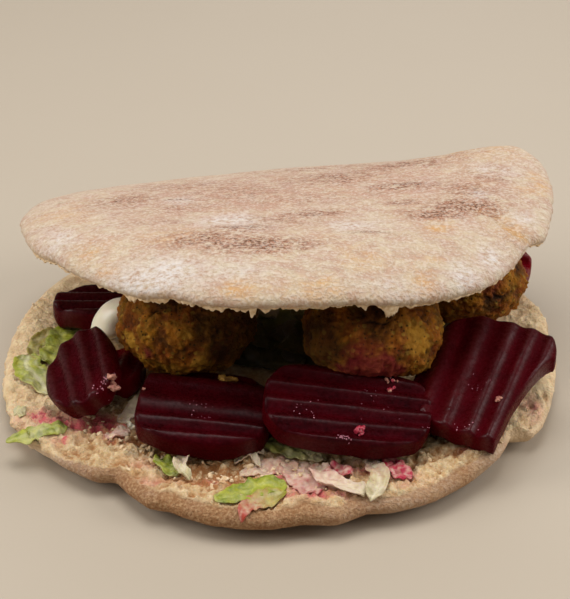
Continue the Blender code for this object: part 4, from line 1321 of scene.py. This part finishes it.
filled_skin = skin_of(*beet_slices.values())
bm = bmesh.new()
scatter(bm, filled_skin, BREAD_MORSELS, 3)
stained_finish = bit_material(
    "stained_crumb", (132, 60, 56), (200, 148, 124), 0.6, (0.6, 0.3), Size=1.0, Detail=3.0
)
finish_crumbs("stained_crumbs", bm, stained_finish)

bm = bmesh.new()
for index in range(CRUMB_COUNT):
    azimuth = math.radians(chance.triangular(88.0, 285.0, 210.0))
    reach = chance.triangular(50.0, 76.0, 66.0)
    spot = Vector((reach * math.sin(azimuth), reach * math.cos(azimuth), 25.0)) * MM
    hit = bread_skin.ray_cast(spot, DOWN)[0]
    if hit is not None and hit.z < HIGHEST_CRUMB * MM:
        settled(bm, bread_skin, hit / MM, chance.uniform(0.3, 0.9), 2)
finish_crumbs("bread_crumbs", bm, crumb_finish)

bm = bmesh.new()
scatter(bm, filled_skin, BEET_MORSELS, 3)
beet_bit_finish = bit_material(
    "beetroot_bit", (120, 10, 24), (196, 60, 84), 0.35, (0.4, 0.2), Size=0.7, Detail=3.0
)
finish_crumbs("beetroot_bits", bm, beet_bit_finish)

bm = bmesh.new()
scatter(bm, filled_skin, FALAFEL_MORSELS, 3)
falafel_bit_finish = bit_material(
    "falafel_bit", (120, 74, 22), (196, 150, 60), 0.7, (0.6, 0.3), Size=0.8, Detail=4.0
)
finish_crumbs("falafel_bits", bm, falafel_bit_finish)

bm = bmesh.new()
scatter(bm, bread_skin, SAUCE_DROPS, 3)
finish_crumbs("sauce_drops", bm, sauce_finish)

bm = bmesh.new()
scatter(bm, filled_skin, FROTH, 1)
froth_finish, tree, shader = new_material("juice_froth")
speck = mottled(tree, Size=0.6, Detail=2.0, Contrast=2.0)
fill_sockets(tree, shader, {
    "Base Color": mixed(tree, speck, tone(150, 60, 84), tone(222, 160, 176)),
    "Roughness": combined(tree, "MULTIPLY_ADD", speck, 0.1, 0.1),
})
finish_crumbs("juice_froth", bm, froth_finish)


# ---------------------------------------------------------------- flakes of torn crumb
# Shaggy flakes that stand up where the crumb tore, most of them round the front of the lower
# leaf. Each is a thin scrap of the same bread, still fixed to it at one end.

FLAKE_COUNT = 260
FLAKE_THICKNESS = 0.32
FLAKE_ROWS = 4
bm = bmesh.new()
for index in range(FLAKE_COUNT):
    azimuth = math.radians(chance.triangular(88.0, 292.0, 205.0))
    reach = chance.triangular(48.0, 78.5, 70.0)
    spot = Vector((reach * math.sin(azimuth), reach * math.cos(azimuth), 25.0)) * MM
    hit, facing_up = bread_skin.ray_cast(spot, DOWN)[:2]
    if hit is None or facing_up.z < 0.75 or hit.z > HIGHEST_CRUMB * MM:
        continue
    length, width = chance.uniform(0.8, 2.0) * MM, chance.uniform(0.6, 1.4) * MM
    heading, rising = chance.uniform(0.0, 2.0 * math.pi), chance.uniform(0.0, 0.5)
    onwards = Vector((math.cos(heading), math.sin(heading), 0.0))
    across = Vector((-onwards.y, onwards.x, 0.0))
    rows = []
    for row in range(FLAKE_ROWS):
        way = row / (FLAKE_ROWS - 1.0)
        lean = rising * (0.6 + 0.8 * way)
        lifted = length * way * math.sin(lean) - 0.25 * MM
        middle = hit + onwards * length * way * math.cos(lean) + UP * lifted
        half = 0.5 * width * (1.0 - 0.5 * abs(way - 0.4)) * chance.uniform(0.6, 1.35)
        rows.append([])
        for side in (-1.0, 0.0, 1.0):
            crinkle = Vector((0.0, 0.0, chance.uniform(-0.1, 0.1) * MM))
            rows[-1].append(bm.verts.new(middle + across * half * side + crinkle))
    for lower, upper in zip(rows, rows[1:]):
        for side in range(2):
            bm.faces.new((lower[side], lower[side + 1], upper[side + 1], upper[side]))
crumb_flakes = item_from("crumb_flakes", bm)
finish_modifier(crumb_flakes, "SOLIDIFY", thickness=FLAKE_THICKNESS * MM, offset=0.0)
finish_modifier(crumb_flakes, "SUBSURF", levels=1, render_levels=1)
crumb_flakes.data.shade_smooth()
crumb_flakes.data.materials.append(crumb_finish)
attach(crumb_flakes, "root")


# ---------------------------------------------------------------- floor, light and camera
# A plain pale floor under one broad soft light overhead, one at each side, a weak one behind,
# and the warm light that a pale room gives back. The camera looks down at the open front.

LIT_POINT = (0.0, 0.0, 0.03)
SOFT_LIGHTS = (
    # name, place, width, power, colour
    ("overhead", (-0.05, 0.0, 0.85), 0.6, 4.1, (1.0, 0.985, 0.97)),
    ("left", (-0.65, -0.12, 0.42), 0.5, 3.1, (1.0, 0.98, 0.95)),
    ("right", (0.65, -0.05, 0.42), 0.5, 3.2, (1.0, 0.98, 0.96)),
    ("behind", (0.1, 0.7, 0.45), 0.5, 1.0, (1.0, 0.98, 0.97)),
)
ROOM_COLOUR, ROOM_STRENGTH = (1.0, 0.92, 0.82, 1.0), 0.26
CAMERA_PLACE = (0.0, -0.4684, 0.3033)
LOOKS_DOWN = 31.0
FOCAL_LENGTH, SENSOR_WIDTH = 113.4, 36.0

bpy.ops.object.select_all(action="DESELECT")
bpy.ops.mesh.primitive_plane_add(size=6.0, location=(0.0, 0.0, 0.0))
floor = bpy.context.active_object
floor.name = "floor"
floor_finish, tree, shader = new_material("pale_floor")
shade = mottled(tree, Size=60.0, Detail=2.0, Contrast=0.3)
fill_sockets(tree, shader, {
    "Base Color": mixed(tree, shade, tone(178, 166, 149), tone(184, 173, 157)),
    "Roughness": 0.6,
})
floor.data.materials.append(floor_finish)

for name, place, size, power, colour in SOFT_LIGHTS:
    lamp = bpy.data.lights.new(name, "AREA")
    lamp.shape, lamp.size, lamp.energy, lamp.color = "DISK", size, power, colour
    item = bpy.data.objects.new(name, lamp)
    item.location = place
    towards = Vector(LIT_POINT) - Vector(place)
    item.rotation_euler = towards.to_track_quat("-Z", "Y").to_euler()
    bpy.context.scene.collection.objects.link(item)
world = bpy.data.worlds.new("room")
world.use_nodes = True
room = world.node_tree.nodes["Background"]
fill_sockets(world.node_tree, room, {"Color": ROOM_COLOUR, "Strength": ROOM_STRENGTH})
bpy.context.scene.world = world
bpy.context.scene.view_settings.view_transform = "Standard"

lens = bpy.data.cameras.new("camera")
lens.lens, lens.sensor_width, lens.clip_start = FOCAL_LENGTH, SENSOR_WIDTH, 0.01
camera = bpy.data.objects.new("camera", lens)
camera.location = CAMERA_PLACE
camera.rotation_euler = (math.radians(90.0 - LOOKS_DOWN), 0.0, 0.0)
bpy.context.scene.collection.objects.link(camera)
bpy.context.scene.camera = camera
